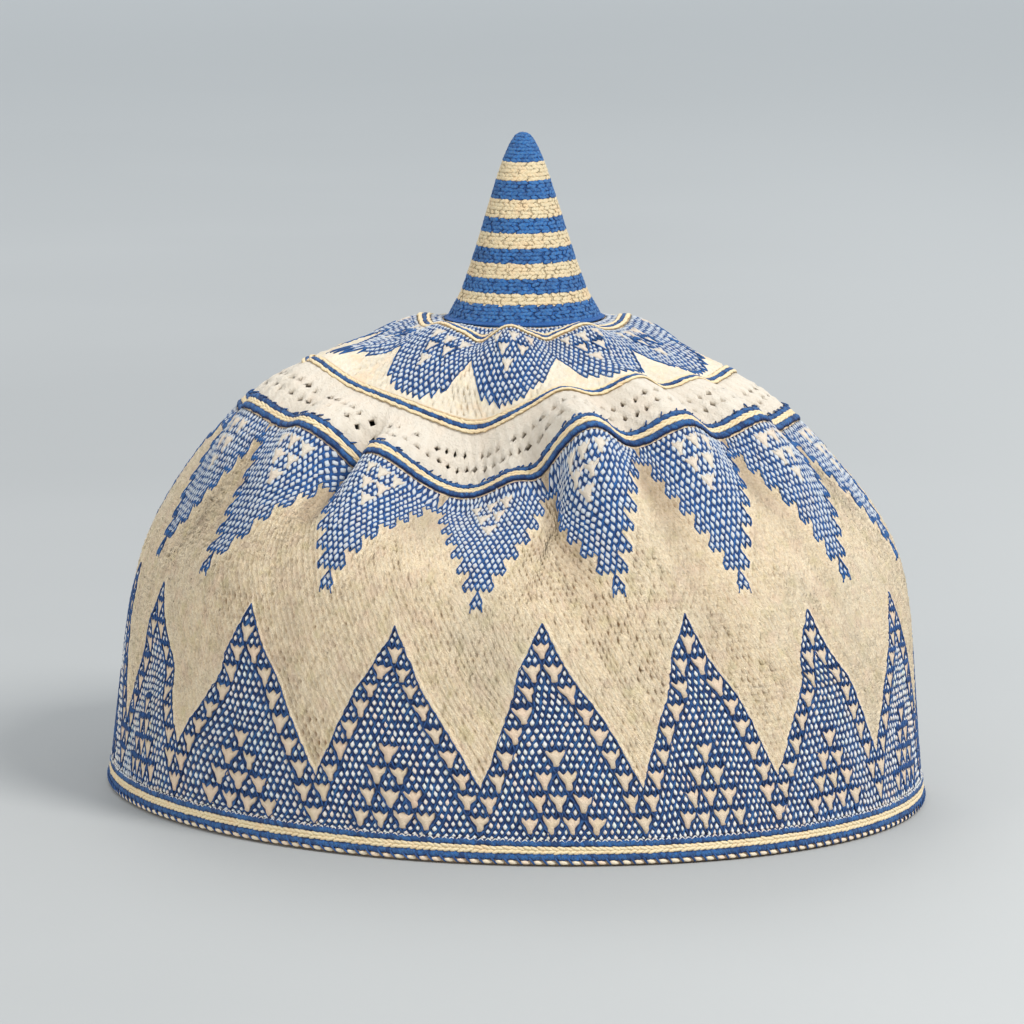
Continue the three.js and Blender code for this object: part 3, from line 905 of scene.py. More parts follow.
def fibre_group():
    """Fine cotton fibres and the yarn's grain: a height for the bump, a fleck and a grain for the colour."""
    group, entry, leave = new_group(
        "cotton_fibres",
        [("Scale", "NodeSocketFloat", 1.0)],
        [("Height", "NodeSocketFloat"), ("Fleck", "NodeSocketFloat"), ("Grain", "NodeSocketFloat")],
    )
    place = node(group, "ShaderNodeTexCoord").outputs["Object"]
    scaled = node(group, "ShaderNodeVectorMath", {"operation": "SCALE"}, Vector=place)
    group.links.new(entry.outputs["Scale"], scaled.inputs["Scale"])
    fine = node(group, "ShaderNodeTexNoise", Vector=scaled.outputs[0],
                Scale=5200.0, Detail=3.0, Roughness=0.6)
    coarse = node(group, "ShaderNodeTexNoise", Vector=scaled.outputs[0],
                  Scale=2200.0, Detail=3.0, Roughness=0.65)
    along = node(group, "ShaderNodeAttribute", {"attribute_name": "weave"}).outputs["Vector"]
    grain = node(group, "ShaderNodeTexNoise", Vector=along, Scale=1.5, Detail=3.0, Roughness=0.6)
    height = node(group, "ShaderNodeMath", {"operation": "ADD"})
    group.links.new(times(group, fine.outputs["Fac"], 0.6), height.inputs[0])
    group.links.new(coarse.outputs["Fac"], height.inputs[1])
    total = node(group, "ShaderNodeMath", {"operation": "ADD"})
    group.links.new(height.outputs[0], total.inputs[0])
    group.links.new(times(group, grain.outputs["Fac"], 1.5), total.inputs[1])
    group.links.new(total.outputs[0], leave.inputs["Height"])
    group.links.new(spread(group, coarse.outputs["Fac"], 0.36, 0.66), leave.inputs["Fleck"])
    group.links.new(spread(group, grain.outputs["Fac"], 0.36, 0.64), leave.inputs["Grain"])
    return group


def ageing_group():
    """Soft uneven patches over the cloth: greyed, stained and yellowed places."""
    group, entry, leave = new_group(
        "ageing",
        [("Size", "NodeSocketFloat", 1.0)],
        [("Greyed", "NodeSocketFloat"), ("Stained", "NodeSocketFloat"), ("Yellowed", "NodeSocketFloat")],
    )
    place = node(group, "ShaderNodeTexCoord").outputs["Object"]
    scaled = node(group, "ShaderNodeVectorMath", {"operation": "SCALE"}, Vector=place)
    group.links.new(entry.outputs["Size"], scaled.inputs["Scale"])
    patches = (
        ("Greyed", 34.0, (0.0, 0.0, 0.0), 0.46, 0.68),
        ("Stained", 210.0, (0.31, 0.17, 0.23), 0.48, 0.70),
        ("Yellowed", 260.0, (0.11, 0.47, 0.05), 0.50, 0.72),
    )
    for title, scale, shift, low, high in patches:
        moved = node(group, "ShaderNodeVectorMath", {"operation": "ADD"}, Vector=scaled.outputs[0])
        moved.inputs[1].default_value = shift
        noise = node(group, "ShaderNodeTexNoise", Vector=moved.outputs[0], Scale=scale, Detail=4.0)
        group.links.new(spread(group, noise.outputs["Fac"], low, high), leave.inputs[title])
    return group


def stitch_group():
    """Values of a stitch: how far a point stands out of it, its own tone, and the painted shade in the folds.
    """
    group, _, leave = new_group(
        "stitch_values",
        [],
        [("Rise", "NodeSocketFloat"), ("Tint", "NodeSocketFloat"), ("Soil", "NodeSocketFloat")],
    )
    for title in ("rise", "tint", "soil"):
        value = node(group, "ShaderNodeAttribute", {"attribute_name": title})
        group.links.new(value.outputs["Fac"], leave.inputs[title.capitalize()])
    return group


FIBRES = fibre_group()
AGEING = ageing_group()
STITCH = stitch_group()


def use(tree, group, **inputs):
    return node(tree, "ShaderNodeGroup", {"node_tree": group}, **inputs).outputs


def cotton(name, recess_shade, body, wear_and_highlight, stain, stain_share=0.35, grey=None, grey_share=0.3, yellow=None,
           yellow_share=0.3, bump=0.35, recess_shade_range=(0.1, 0.6), wear_and_highlight_from=0.6, tint_share=0.5,
           grain_share=0.0, fold_shade_share=0.0, fleck=None, fleck_share=0.5):
    """Cotton yarn: painted shade between stitches, wear and painted highlight on top, stains and its own
    fibres.
    """
    material = bpy.data.materials.new(name)
    material.use_nodes = True
    tree = material.node_tree
    shader = tree.nodes["Principled BSDF"]
    stitch = use(tree, STITCH)
    fibres = use(tree, FIBRES, Scale=1.0)
    ageing = use(tree, AGEING, Size=1.0)
    # Painted shade: the shade colour where the rise is low, down between the stitches.
    colour = blend(tree, spread(tree, stitch["Rise"], *recess_shade_range), recess_shade, body)
    # Wear and a painted highlight: the lighter colour on the highest points, broken up by the flecks.
    top = spread(tree, stitch["Rise"], wear_and_highlight_from, 1.0)
    colour = blend(tree, times(tree, top, fibres["Fleck"]), colour, wear_and_highlight)
    if grain_share:
        colour = blend(tree, times(tree, fibres["Grain"], grain_share), colour, wear_and_highlight)
    colour = blend(tree, times(tree, spread(tree, stitch["Tint"], 0.55, 1.0), tint_share), colour, stain)
    if fleck is not None:
        colour = blend(tree, times(tree, fibres["Fleck"], fleck_share), colour, fleck)
    if yellow is not None:
        colour = blend(tree, times(tree, ageing["Yellowed"], yellow_share), colour, yellow)
    if grey is not None:
        colour = blend(tree, times(tree, ageing["Greyed"], grey_share), colour, grey)
    colour = blend(tree, times(tree, ageing["Stained"], stain_share), colour, stain)
    # Painted shade in the folds of the cloth.
    if fold_shade_share:
        colour = blend(tree, times(tree, stitch["Soil"], fold_shade_share), colour, FOLD_SHADE)
    tree.links.new(colour, shader.inputs["Base Color"])
    shader.inputs["Roughness"].default_value = 0.88
    shader.inputs["Sheen Weight"].default_value = 0.06
    shader.inputs["Sheen Roughness"].default_value = 0.5
    relief = node(tree, "ShaderNodeBump", Height=fibres["Height"], Strength=bump, Distance=0.00038)
    tree.links.new(relief.outputs["Normal"], shader.inputs["Normal"])
    return material


PLAIN_COTTON = cotton(
    "plain_cotton", PIT_SHADE, (0.960, 0.795, 0.550), (0.980, 0.910, 0.740), PINK, stain_share=0.36,
    grey=(0.70, 0.65, 0.52), yellow=(0.66, 0.57, 0.29), yellow_share=0.42, recess_shade_range=(-0.60, 0.24),
    wear_and_highlight_from=0.5, tint_share=0.26, grain_share=0.35, fold_shade_share=0.5, bump=1.2,
    fleck=(0.64, 0.46, 0.27), fleck_share=0.45,
)
TALL_GROUND = cotton(
    "tall_ground", NAVY, (0.024, 0.130, 0.370), (0.10, 0.30, 0.50), NAVY, recess_shade_range=(0.42, 0.92),
    wear_and_highlight_from=0.65, stain_share=0.3, fleck=(0.006, 0.022, 0.090), fleck_share=0.6,
)
HANGING_GROUND = cotton(
    "hanging_ground", (0.006, 0.030, 0.120), COBALT, WORN_HIGHLIGHT_BLUE, NAVY, recess_shade_range=(0.35, 0.9),
    wear_and_highlight_from=0.75, stain_share=0.12, fleck=(0.008, 0.030, 0.120), fleck_share=0.6,
)
INNER_COTTON = cotton("inner_cotton", TAN, TAN, TAN_LIGHT, PINK)
TULIP_COTTON = cotton(
    "tulip_cotton", (0.44, 0.31, 0.20), (0.700, 0.580, 0.435), (0.82, 0.73, 0.59), PINK,
    stain_share=0.45, recess_shade_range=(0.2, 0.9), bump=0.9, tint_share=0.40, fleck=(0.58, 0.43, 0.29),
    fleck_share=0.5, yellow=OLIVE,
)
PALE_TULIPS = cotton(
    "pale_tulips", (0.46, 0.38, 0.30), (0.690, 0.630, 0.530), (0.81, 0.76, 0.67), PINK,
    stain_share=0.25, recess_shade_range=(0.2, 0.9), bump=0.9, tint_share=0.25, fleck=(0.58, 0.50, 0.41),
    fleck_share=0.5,
)
PALE_DOTS = cotton(
    "pale_dots", (0.22, 0.26, 0.34), PALE, (0.88, 0.88, 0.84), (0.74, 0.58, 0.46),
    recess_shade_range=(0.15, 0.80), grey=(0.58, 0.67, 0.76), grey_share=0.4, tint_share=0.75,
    yellow=(0.60, 0.72, 0.60), yellow_share=0.5, fleck=(0.52, 0.56, 0.62), fleck_share=0.4,
)
WHITE_DOTS = cotton(
    "white_dots", (0.14, 0.23, 0.42), (0.49, 0.54, 0.58), (0.69, 0.73, 0.75), (0.54, 0.50, 0.49),
    recess_shade_range=(0.12, 0.85), tint_share=0.4, fleck=(0.44, 0.50, 0.58), fleck_share=0.5,
)
TALL_STRANDS = cotton(
    "tall_strands", NAVY, (0.015, 0.080, 0.270), WORN_HIGHLIGHT_BLUE, NAVY, wear_and_highlight_from=0.75, fleck=NAVY,
    fleck_share=0.5,
)
HANGING_STRANDS = cotton(
    "hanging_strands", NAVY, COBALT, WORN_HIGHLIGHT_BLUE, NAVY, wear_and_highlight_from=0.7, fleck=NAVY, fleck_share=0.5,
)
BLUE_YARN = cotton(
    "blue_yarn", NAVY, (0.015, 0.115, 0.370), (0.12, 0.32, 0.54), NAVY, bump=0.9, stain_share=0.45,
    tint_share=0.7, recess_shade_range=(0.10, 0.85), fleck=(0.007, 0.026, 0.110), fleck_share=0.85,
)
FINIAL_BLUE = cotton(
    "finial_blue", (0.005, 0.032, 0.150), (0.010, 0.130, 0.420), (0.15, 0.38, 0.60), NAVY, bump=1.0,
    stain_share=0.25, tint_share=0.35, recess_shade_range=(-0.3, 0.6), wear_and_highlight_from=0.3,
    fleck=(0.008, 0.055, 0.24), fleck_share=0.7,
)
CREAM_YARN = cotton(
    "cream_yarn", CREAM_SHADE, (0.790, 0.670, 0.430), CREAM_LIGHT, PEACH, bump=0.6, tint_share=0.25,
    fleck=(0.66, 0.52, 0.31), fleck_share=0.4,
)
FINIAL_CREAM = cotton(
    "finial_cream", (0.58, 0.44, 0.24), (0.690, 0.595, 0.400), (0.79, 0.71, 0.51), PEACH, bump=0.9,
    tint_share=0.3, recess_shade_range=(-0.5, 0.4), fleck=(0.66, 0.50, 0.27), fleck_share=0.55,
)
OPENWORK_YARN = cotton(
    "openwork_yarn", (0.34, 0.26, 0.18), (0.690, 0.632, 0.538), (0.79, 0.75, 0.67),
    (0.80, 0.66, 0.53), recess_shade_range=(0.0, 0.35), tint_share=0.0, stain_share=0.25, grain_share=0.3,
    fold_shade_share=0.10, bump=0.7, grey=(0.70, 0.66, 0.59), fleck=(0.60, 0.52, 0.42), fleck_share=0.3,
)
CROWN_COTTON = cotton(
    "crown_cotton", (0.42, 0.30, 0.15), OFF_WHITE, (0.86, 0.80, 0.68), PEACH,
    yellow=(0.74, 0.66, 0.40), recess_shade_range=(-1.0, 0.10), tint_share=0.15, grain_share=0.4,
    fleck=(0.70, 0.58, 0.38), fleck_share=0.4,
)
EDGE_YARN = cotton("edge_yarn", PIT_SHADE, TAN_LIGHT, OFF_WHITE, PINK)

# The wall

WALL_FACES = PLAIN_COTTON, TALL_GROUND, INNER_COTTON, HANGING_GROUND
CROWN_FACES = CROWN_COTTON, TALL_GROUND, INNER_COTTON, HANGING_GROUND

chart, tulip_places = wall_chart()
wall = Lattice(chart, REPEATS, APEX, (0, HANGING_FOOT, WALL_ROWS), (WALL_FOOT, GAP_TOP, WALL_TOP), DRIFTS)
sheet = cloth(wall, EDGE_TOP + GAP, SHOULDER - GAP / 2, 16, HANGING_FOOT)
piece("side_wall_cloth", ["side_wall"], "wall_cotton", sheet, *WALL_FACES)
tall_rows = (0, HANGING_FOOT - 2)
hanging_rows = (HANGING_FOOT - 2, WALL_ROWS)
dots = stitches(wall, tall_rows, KITE, 0.66, 1.00, 0.48, -0.12)
piece("tall_point_dots", [], "wall_cotton", dots, PALE_DOTS)
dots = stitches(wall, hanging_rows, DIAMOND, 0.70, 1.22, 0.40, -0.08)
piece("hanging_point_dots", [], "wall_cotton", dots, WHITE_DOTS)
piece("tall_point_outlines", [], "wall_cotton", outlines(wall, tall_rows), TALL_STRANDS)
strands_above = joined(outlines(wall, hanging_rows), legs(wall))
piece("hanging_point_outlines", [], "wall_cotton", strands_above, HANGING_STRANDS)
low_places = [place for place in tulip_places if place[1] < HANGING_FOOT]
high_places = [place for place in tulip_places if place[1] >= HANGING_FOOT]
piece("tall_point_tulips", [], "wall_cotton", tulips(wall, low_places, REPEATS), TULIP_COTTON)
piece("hanging_point_tulips", [], "wall_cotton", tulips(wall, high_places, REPEATS), PALE_TULIPS)

# The crown

chart, tulip_places = crown_chart()
crown = Lattice(chart, PETALS, PETAL_AXIS, (0, CROWN_ROWS), (CROWN_FOOT, CROWN_TOP), CROWN_DRIFTS)
sheet = cloth(crown, UPPER_STRIPE + GAP / 2, CROWN_STRIPE - GAP / 2, 6, 0)
piece("crown_top_cloth", ["crown_top"], "crown_cotton", sheet, *CROWN_FACES)
crown_rows = (0, CROWN_ROWS)
dots = stitches(crown, crown_rows, DIAMOND, 0.66, 1.14, 0.38, -0.08)
piece("petal_dots", [], "crown_cotton", dots, WHITE_DOTS)
piece("petal_outlines", [], "crown_cotton", outlines(crown, crown_rows), HANGING_STRANDS)
piece("petal_tulips", [], "crown_cotton", tulips(crown, tulip_places, PETALS), PALE_TULIPS)
ring_chart = np.full((RING_ROWS, 2), NETTED)
ring = Lattice(ring_chart, RING_STITCHES, PETAL_AXIS, (0, RING_ROWS), (RING_FOOT, RING_TOP))
sheet = cloth(ring, CROWN_STRIPE + GAP / 2, FINIAL_FOOT_ARC, 3, 0)
piece("crown_ring_cloth", ["crown_ring"], "crown_cotton", sheet, *CROWN_FACES)
dots = stitches(ring, (0, RING_ROWS), DIAMOND, 0.70, 1.20, 0.44, -0.08)
piece("crown_ring_dots", [], "crown_cotton", dots, WHITE_DOTS)

# Cords

CORE_COLUMNS = 184


def cord(name, nodes, slot, finish, arc, width, rows, stitch, overlap, slant, height, uneven, lift,
         core_shade_rise):
    """A cord of slanted stitches worked round the cloth, on a low core that fills their gaps."""
    lumps = Lumps(on_cap, dome_form(0.74) if rows == 2 else YARN)
    count = round(2 * math.pi * float(radius_on_cap(0, arc)) / stitch)
    places = 360 * (np.arange(count) + 0.5) / count
    for row in range(rows):
        side = 0 if rows == 1 else (row - 0.5) * width / 2
        azimuth = places + row * 180 / count
        jitter = (DRAW.random(count) - 0.5) * uneven
        middle = arc + side + jitter
        pitch = radius_on_cap(azimuth, middle) * math.radians(360 / count)
        turn = (slant if row == 0 else -slant) + 12 * (DRAW.random(count) - 0.5)
        lumps.add(azimuth, middle, overlap * pitch * (0.85 + 0.3 * DRAW.random(count)),
                  width / rows * 1.12, height * (0.85 + 0.3 * DRAW.random(count)), lift, 0.0, turn)
    stitched = lumps.mesh(radius_on_cap)
    low, high = arc - width / 2, arc + width / 2
    section = [(low, -0.3), (low + 0.1, lift + 0.35 * height), (arc, lift + 0.6 * height),
               (high - 0.1, lift + 0.35 * height), (high, -0.3)]
    # The core's rise paints it in shade where it shows in the gaps between the stitches.
    core = closed_ring(CORE_COLUMNS, section, on_cap, core_shade_rise)
    piece(name, nodes, slot, joined(core, stitched), finish)


ROPE = {"rows": 1, "stitch": 0.7, "overlap": 3.6, "slant": -26, "height": 0.52, "uneven": 0.30,
        "lift": 0.22, "core_shade_rise": 0.1}
FINE_ROPE = {"rows": 1, "stitch": 0.7, "overlap": 3.4, "slant": -18, "height": 0.38, "uneven": 0.26,
             "lift": 0.2, "core_shade_rise": 0.1}
CHAIN = {"rows": 2, "stitch": 1.45, "overlap": 1.75, "slant": 16, "height": 0.42, "uneven": 0.16,
         "lift": 0.26, "core_shade_rise": 0.3}
HEM_LOW = EDGE_TOP + GAP + HEM_CORD_WIDTH / 2
HEM_MIDDLE = HEM_LOW + HEM_CORD_PITCH
HEM_HIGH = HEM_LOW + 2 * HEM_CORD_PITCH
cord("hem_cord_low_yarn", ["hem_cord_low"], "blue_cord", BLUE_YARN, HEM_LOW, 1.4, **ROPE)
cord("hem_cord_middle_yarn", ["hem_cord_middle"], "cream_cord", CREAM_YARN, HEM_MIDDLE, 1.55, **CHAIN)
cord("hem_cord_high_yarn", ["hem_cord_high"], "blue_cord", BLUE_YARN, HEM_HIGH, 1.3, **ROPE)
cord("shoulder_cord_low_yarn", ["shoulder_cord_low"], "blue_cord", BLUE_YARN, SHOULDER - 1.3, 1.35, **ROPE)
cord("shoulder_cord_middle_yarn", ["shoulder_cord_middle"], "cream_cord", CREAM_YARN, SHOULDER, 1.3, **CHAIN)
cord("shoulder_cord_high_yarn", ["shoulder_cord_high"], "blue_cord", BLUE_YARN, SHOULDER + 1.25, 1.15, **ROPE)

# Each thin stripe is a blue cord between two cream ones. The blue one replaces the solid.
STRIPE_CORDS = [
    ("upper_stripe_blue", ["upper_stripe"], BLUE_YARN, UPPER_STRIPE, 1.05),
    ("upper_stripe_cream_low", [], CREAM_YARN, UPPER_STRIPE - 0.85, 0.65),
    ("upper_stripe_cream_high", [], CREAM_YARN, UPPER_STRIPE + 0.85, 0.65),
    ("crown_stripe_blue", ["crown_stripe"], BLUE_YARN, CROWN_STRIPE, 0.95),
    ("crown_stripe_cream_low", [], CREAM_YARN, CROWN_STRIPE - 0.9, 0.85),
    ("crown_stripe_cream_high", [], CREAM_YARN, CROWN_STRIPE + 0.8, 0.6),
]
for name, nodes, finish, arc, width in STRIPE_CORDS:
    cord(name, nodes, "stripe_cotton", finish, arc, width, **FINE_ROPE)

# The thin pale zigzag above the hem cords


def zigzag(count, low, high, lift, radius):
    """A thin pale strand that runs up and down between two arcs."""
    turn = 360 / count
    places = turn * np.arange(count)
    arcs = np.where(np.arange(count) % 2 == 0, low, high) + 0.16 * (DRAW.random(count) - 0.5)
    lifts = lift + 0.14 * (DRAW.random(count) - 0.5)
    path = np.stack([
        np.stack([places, arcs, lifts], -1),
        np.stack([places + turn, np.roll(arcs, -1), np.roll(lifts, -1)], -1),
    ], axis=1)
    return strands(path, on_cap, radius, sides=3)


piece("hem_zigzag", [], "wall_cotton", zigzag(wall.half, 5.15, 5.7, 0.42, 0.21), PALE_DOTS)

# The short blue ends above the upper shoulder cord

SPIKES = 190
spike_azimuth = 360 * (np.arange(SPIKES) + DRAW.random(SPIKES)) / SPIKES
spike_length = 0.4 + 1.1 * DRAW.random(SPIKES) ** 2
spike_path = np.stack([
    np.stack([spike_azimuth + 0.25 * n, SHOULDER + 1.6 + share * spike_length, np.full(SPIKES, lift)], -1)
    for n, (share, lift) in enumerate(((0.0, 0.75), (0.5, 0.6), (1.0, 0.25)))
], axis=1)
piece("shoulder_spikes", [], "blue_cord", strands(spike_path, on_cap, 0.22), BLUE_YARN)

# The overcast edge

TICKS = 212
edge_section = [(0.0, -1.0), (0.35, -0.35), (0.7, 0.25), (EDGE_TOP + GAP, 0.2), (EDGE_TOP + GAP, -WALL),
                (0.0, -WALL)]
# Its rise of 0.3 paints the core partly in shade where it shows between and under the lozenges.
core = closed_ring(TICKS, edge_section, on_edge, 0.3)


def radius_on_edge(azimuth, arc):
    return np.full(np.shape(azimuth), MEAN_RADIUS)


lozenges = Lumps(on_edge, dome_form(0.8))
places = 360 * (np.arange(TICKS) + 0.5) / TICKS
width = 2.2 + 0.4 * DRAW.random(TICKS)
length = 0.9 + 0.15 * DRAW.random(TICKS)
lozenges.add(places, 0.86, width, length, 0.7, -0.05, 0.55)
edge = joined(core, lozenges.mesh(radius_on_edge))
piece("hem_edge_yarn", ["hem_edge"], "edge_cotton", edge, EDGE_YARN)
tick_places = 360 * np.arange(TICKS) / TICKS
ticks = np.stack([
    np.stack([tick_places + turn, np.full(TICKS, height), np.full(TICKS, lift)], -1)
    for turn, height, lift in ((-0.34, 1.9, 0.6), (-0.02, 1.2, 0.62), (0.28, 0.7, 0.4), (0.42, 0.42, 0.05))
], axis=1)
piece("hem_edge_ticks", [], "blue_cord", strands(ticks, on_edge, 0.24, sides=4), TALL_STRANDS)

# The openwork band

HOLES = 150
COLUMNS_PER_HOLE = 4
OPENWORK_ARCS = np.array([
    SHOULDER + GAP / 2, 95.6, 97.0, 98.2, 99.2, 100.0, 100.9, 101.8, 102.6, 103.4, 104.3, 105.3, 106.6, 108.2,
    UPPER_STRIPE - GAP / 2,
])

# The lowest row of cells that each ring of slits opens, and how many columns it is turned by.
SLIT_RINGS = ((4, 0), (8, 2))


def openwork():
    """The off-white band, with two staggered rows of slits worked through it."""
    columns = HOLES * COLUMNS_PER_HOLE
    arcs = OPENWORK_ARCS
    rows = len(arcs)
    column = np.arange(columns)
    azimuth = 360 * column[:, None] / columns + np.zeros((1, rows))
    arc = arcs[None] + np.zeros((columns, 1))
    open_cells = np.zeros((columns, rows - 1), bool)
    for row, shift in SLIT_RINGS:
        size = DRAW.random(HOLES)
        start = (np.arange(HOLES) * COLUMNS_PER_HOLE + shift)[size > 0.14]
        size = size[size > 0.14] ** 1.3
        left = start % columns
        right = (left + 1) % columns
        open_cells[left, row] = True
        open_cells[left, row + 1] = True
        narrow = 0.38 * 360 / columns
        wide = (0.25 + 1.5 * size) * 0.5 * 360 / columns
        shift_up = 1.1 * (DRAW.random(len(left)) - 0.5)
        shift_round = 1.1 * (DRAW.random(len(left)) - 0.5) * 360 / columns
        for edge, sign in ((left, 1), (right, -1)):
            azimuth[edge, row] += sign * narrow
            azimuth[edge, row + 2] += sign * narrow
            azimuth[edge, row + 1] -= sign * wide
            azimuth[edge, row:row + 3] += shift_round[:, None]
            arc[edge, row:row + 3] += shift_up[:, None]
    uneven = wobble(azimuth, arc, 12, (9, 17, 31), (9.0, 6.0, 4.0))
    ribs = np.sin(np.radians(azimuth * HOLES) + arc * 0.9 + 2.5 * uneven)
    strength = np.interp(arcs, [94.15, 97, 100, 104, 108, 110], [0.10, 0.26, 0.24, 0.14, 0.08, 0.0])
    rim_arcs = [97, 99.2, 100, 101, 102.6, 103.4, 104.3, 106]
    around_holes = np.interp(arcs, rim_arcs, [0, 0.2, 0.0, 0.2, 0.2, 0.0, 0.2, 0])
    lift = strength[None] * ribs + around_holes[None] + 0.25 * wobble(azimuth, arc, 11)
    azimuth += np.interp(arcs, [94, 101, 110], [0.0, 0.15, 0.36])[None]
    outer = on_cap(azimuth, arc, lift)
    inner = on_cap(azimuth, arc, np.full(arc.shape, -WALL))
    across = 2 * rows
    grid = np.concatenate([outer, inner[:, ::-1]], axis=1)
    index = column[:, None] * across + np.arange(across)[None]
    following = np.roll(index, -1, axis=0)
    above = np.roll(index, -1, axis=1)
    far = np.roll(above, -1, axis=0)
    closed = np.ones((columns, across), bool)
    closed[:, :rows - 1] = ~open_cells
    closed[:, rows:across - 1] = ~open_cells[:, ::-1]
    quads = np.stack([index, following, far, above], -1)[closed]
    walls = []
    for row in range(rows - 1):
        inner_low = across - 1 - row
        for at in np.nonzero(open_cells[:, row])[0]:
            after = (at + 1) % columns
            a, b = at * across + row, after * across + row
            c, d = b + 1, a + 1
            a2, b2 = at * across + inner_low, after * across + inner_low
            c2, d2 = b2 - 1, a2 - 1
            if row == 0 or not open_cells[at, row - 1]:
                walls.append((a, b, b2, a2))
            if not open_cells[after, row]:
                walls.append((b, c, c2, b2))
            if row == rows - 2 or not open_cells[at, row + 1]:
                walls.append((c, d, d2, c2))
            if not open_cells[at - 1, row]:
                walls.append((d, a, a2, d2))
    quads = np.vstack([quads, np.array(walls)])
    triangles = np.vstack([quads[:, [0, 1, 2]], quads[:, [0, 2, 3]]])
    # The inner face and the walls of the slits have no rise, so the inside seen through the slits is painted
    # in shade.
    rise = np.concatenate([0.6 + 0.4 * ribs, np.full(inner.shape[:2], 0.0)], axis=1)
    points = grid.reshape(-1, 3)
    both = np.concatenate([arc, arc[:, ::-1]], axis=1).ravel()
    turns = np.concatenate([azimuth, azimuth[:, ::-1]], axis=1).ravel()
    rise = np.clip(rise, 0, 1).ravel()
    tint = np.full(len(points), 0.5)
    return Shape(points, triangles, rise, tint, None, weave(turns, both), hollow(turns, both))


piece("openwork_band_yarn", ["openwork_band"], "openwork_cotton", openwork(), OPENWORK_YARN)

# The finial

# The heights where the stripes change, from the foot upwards
FINIAL_BORDERS = np.array([109.8, 112.5, 115.5, 119.1, 122.2, 125.6, 128.8, 132.7, 136.6, 140.5])
ROUND_PITCH = 0.85
FINIAL_LENGTH = FINIAL_ARC[-1]


def is_blue(height):
    """The stripes alternate, with blue at the foot and at the tip."""
    return np.searchsorted(FINIAL_BORDERS, height) % 2 == 0


def radius_on_finial(azimuth, arc):
    return np.maximum(np.interp(arc, FINIAL_ARC, FINIAL_CURVE[:, 0]), 0.7) + np.zeros(np.shape(azimuth))


blue_rounds = Lumps(on_finial, YARN)
cream_rounds = Lumps(on_finial, YARN)
for number in range(int(FINIAL_LENGTH / ROUND_PITCH)):
    arc = (number + 0.5) * ROUND_PITCH
    radius = float(radius_on_finial(0, arc))
    height = FINIAL_FOOT + float(np.interp(arc, FINIAL_ARC, FINIAL_CURVE[:, 1]))
    count = max(6, round(2 * math.pi * radius / 0.85))
    azimuth = 360 * (np.arange(count) + 0.5 * (number % 2)) / count + 8 * (DRAW.random(count) - 0.5)
    rounds = blue_rounds if is_blue(height) else cream_rounds
    turn = (24 if number % 2 else -24) + 16 * (DRAW.random(count) - 0.5)
    arcs = arc + 0.24 * (DRAW.random(count) - 0.5)
    width = 1.6 + 0.7 * DRAW.random(count)
    height = 0.12 + 0.09 * DRAW.random(count)
    rounds.add(azimuth, arcs, width, 1.1 * ROUND_PITCH, height, -0.03, 0.0, turn)
piece("finial_blue_rounds", [], "finial_cotton", blue_rounds.mesh(radius_on_finial), FINIAL_BLUE)
piece("finial_cream_rounds", [], "finial_cotton", cream_rounds.mesh(radius_on_finial), FINIAL_CREAM)


def finial_shell():
    """The hollow cone under the rounds, in the same stripes."""
    columns = 64
    border_arcs = np.interp(FINIAL_BORDERS - FINIAL_FOOT, FINIAL_CURVE[:, 1], FINIAL_ARC)
    arcs = np.unique(np.r_[np.linspace(0, FINIAL_LENGTH - 0.6, 40), border_arcs])
    section = [(0.0, 0.8), (0.3, 0.5)] + [(a, -0.08) for a in arcs if a > 0.6]
    inner = [(a, -WALL) for a in np.linspace(FINIAL_LENGTH - 6.0, 0, 12)]
    points, triangles = closed_ring(columns, section + inner, on_finial, 0.0)[:2]
    across = len(section) + len(inner)
    tip_row, cave_row = len(section) - 1, len(section)
    row_of = triangles % across
    between = (row_of == tip_row).any(axis=1) & (row_of == cave_row).any(axis=1)
    triangles = triangles[~between]
    tip = on_finial(np.zeros(1), np.full(1, FINIAL_LENGTH), np.zeros(1))
    cave = tip - [[0, 0, 4.5]]
    tip_index = len(points)
    column = np.arange(columns)
    following = (column + 1) % columns
    caps = np.vstack([
        np.stack([column * across + tip_row, following * across + tip_row, np.full(columns, tip_index)], -1),
        np.stack([following * across + cave_row, column * across + cave_row,
                  np.full(columns, tip_index + 1)], -1),
    ])
    points = np.vstack([points, tip, cave])
    triangles = np.vstack([triangles, caps])
    heights = points[triangles].mean(axis=1)[:, 2]
    # Its rise paints the shell a little into shade where it shows between the rounds.
    rise = np.full(len(points), 0.35)
    tint = np.full(len(points), 0.5)
    return Shape(points, triangles, rise, tint, np.where(is_blue(heights), 0, 1))


piece("finial_shell", ["finial"], "finial_cotton", finial_shell(), FINIAL_BLUE, FINIAL_CREAM)

# Floor, light and camera

CAMERA_PLACE = Vector((-0.98995, -0.98995, 0.272))
CAMERA_TARGET = Vector((0.0004, -0.0004, 0.062))
CAMERA_ROLL = math.radians(-0.5)
LENS_MM = 223
SENSOR_MM = 36


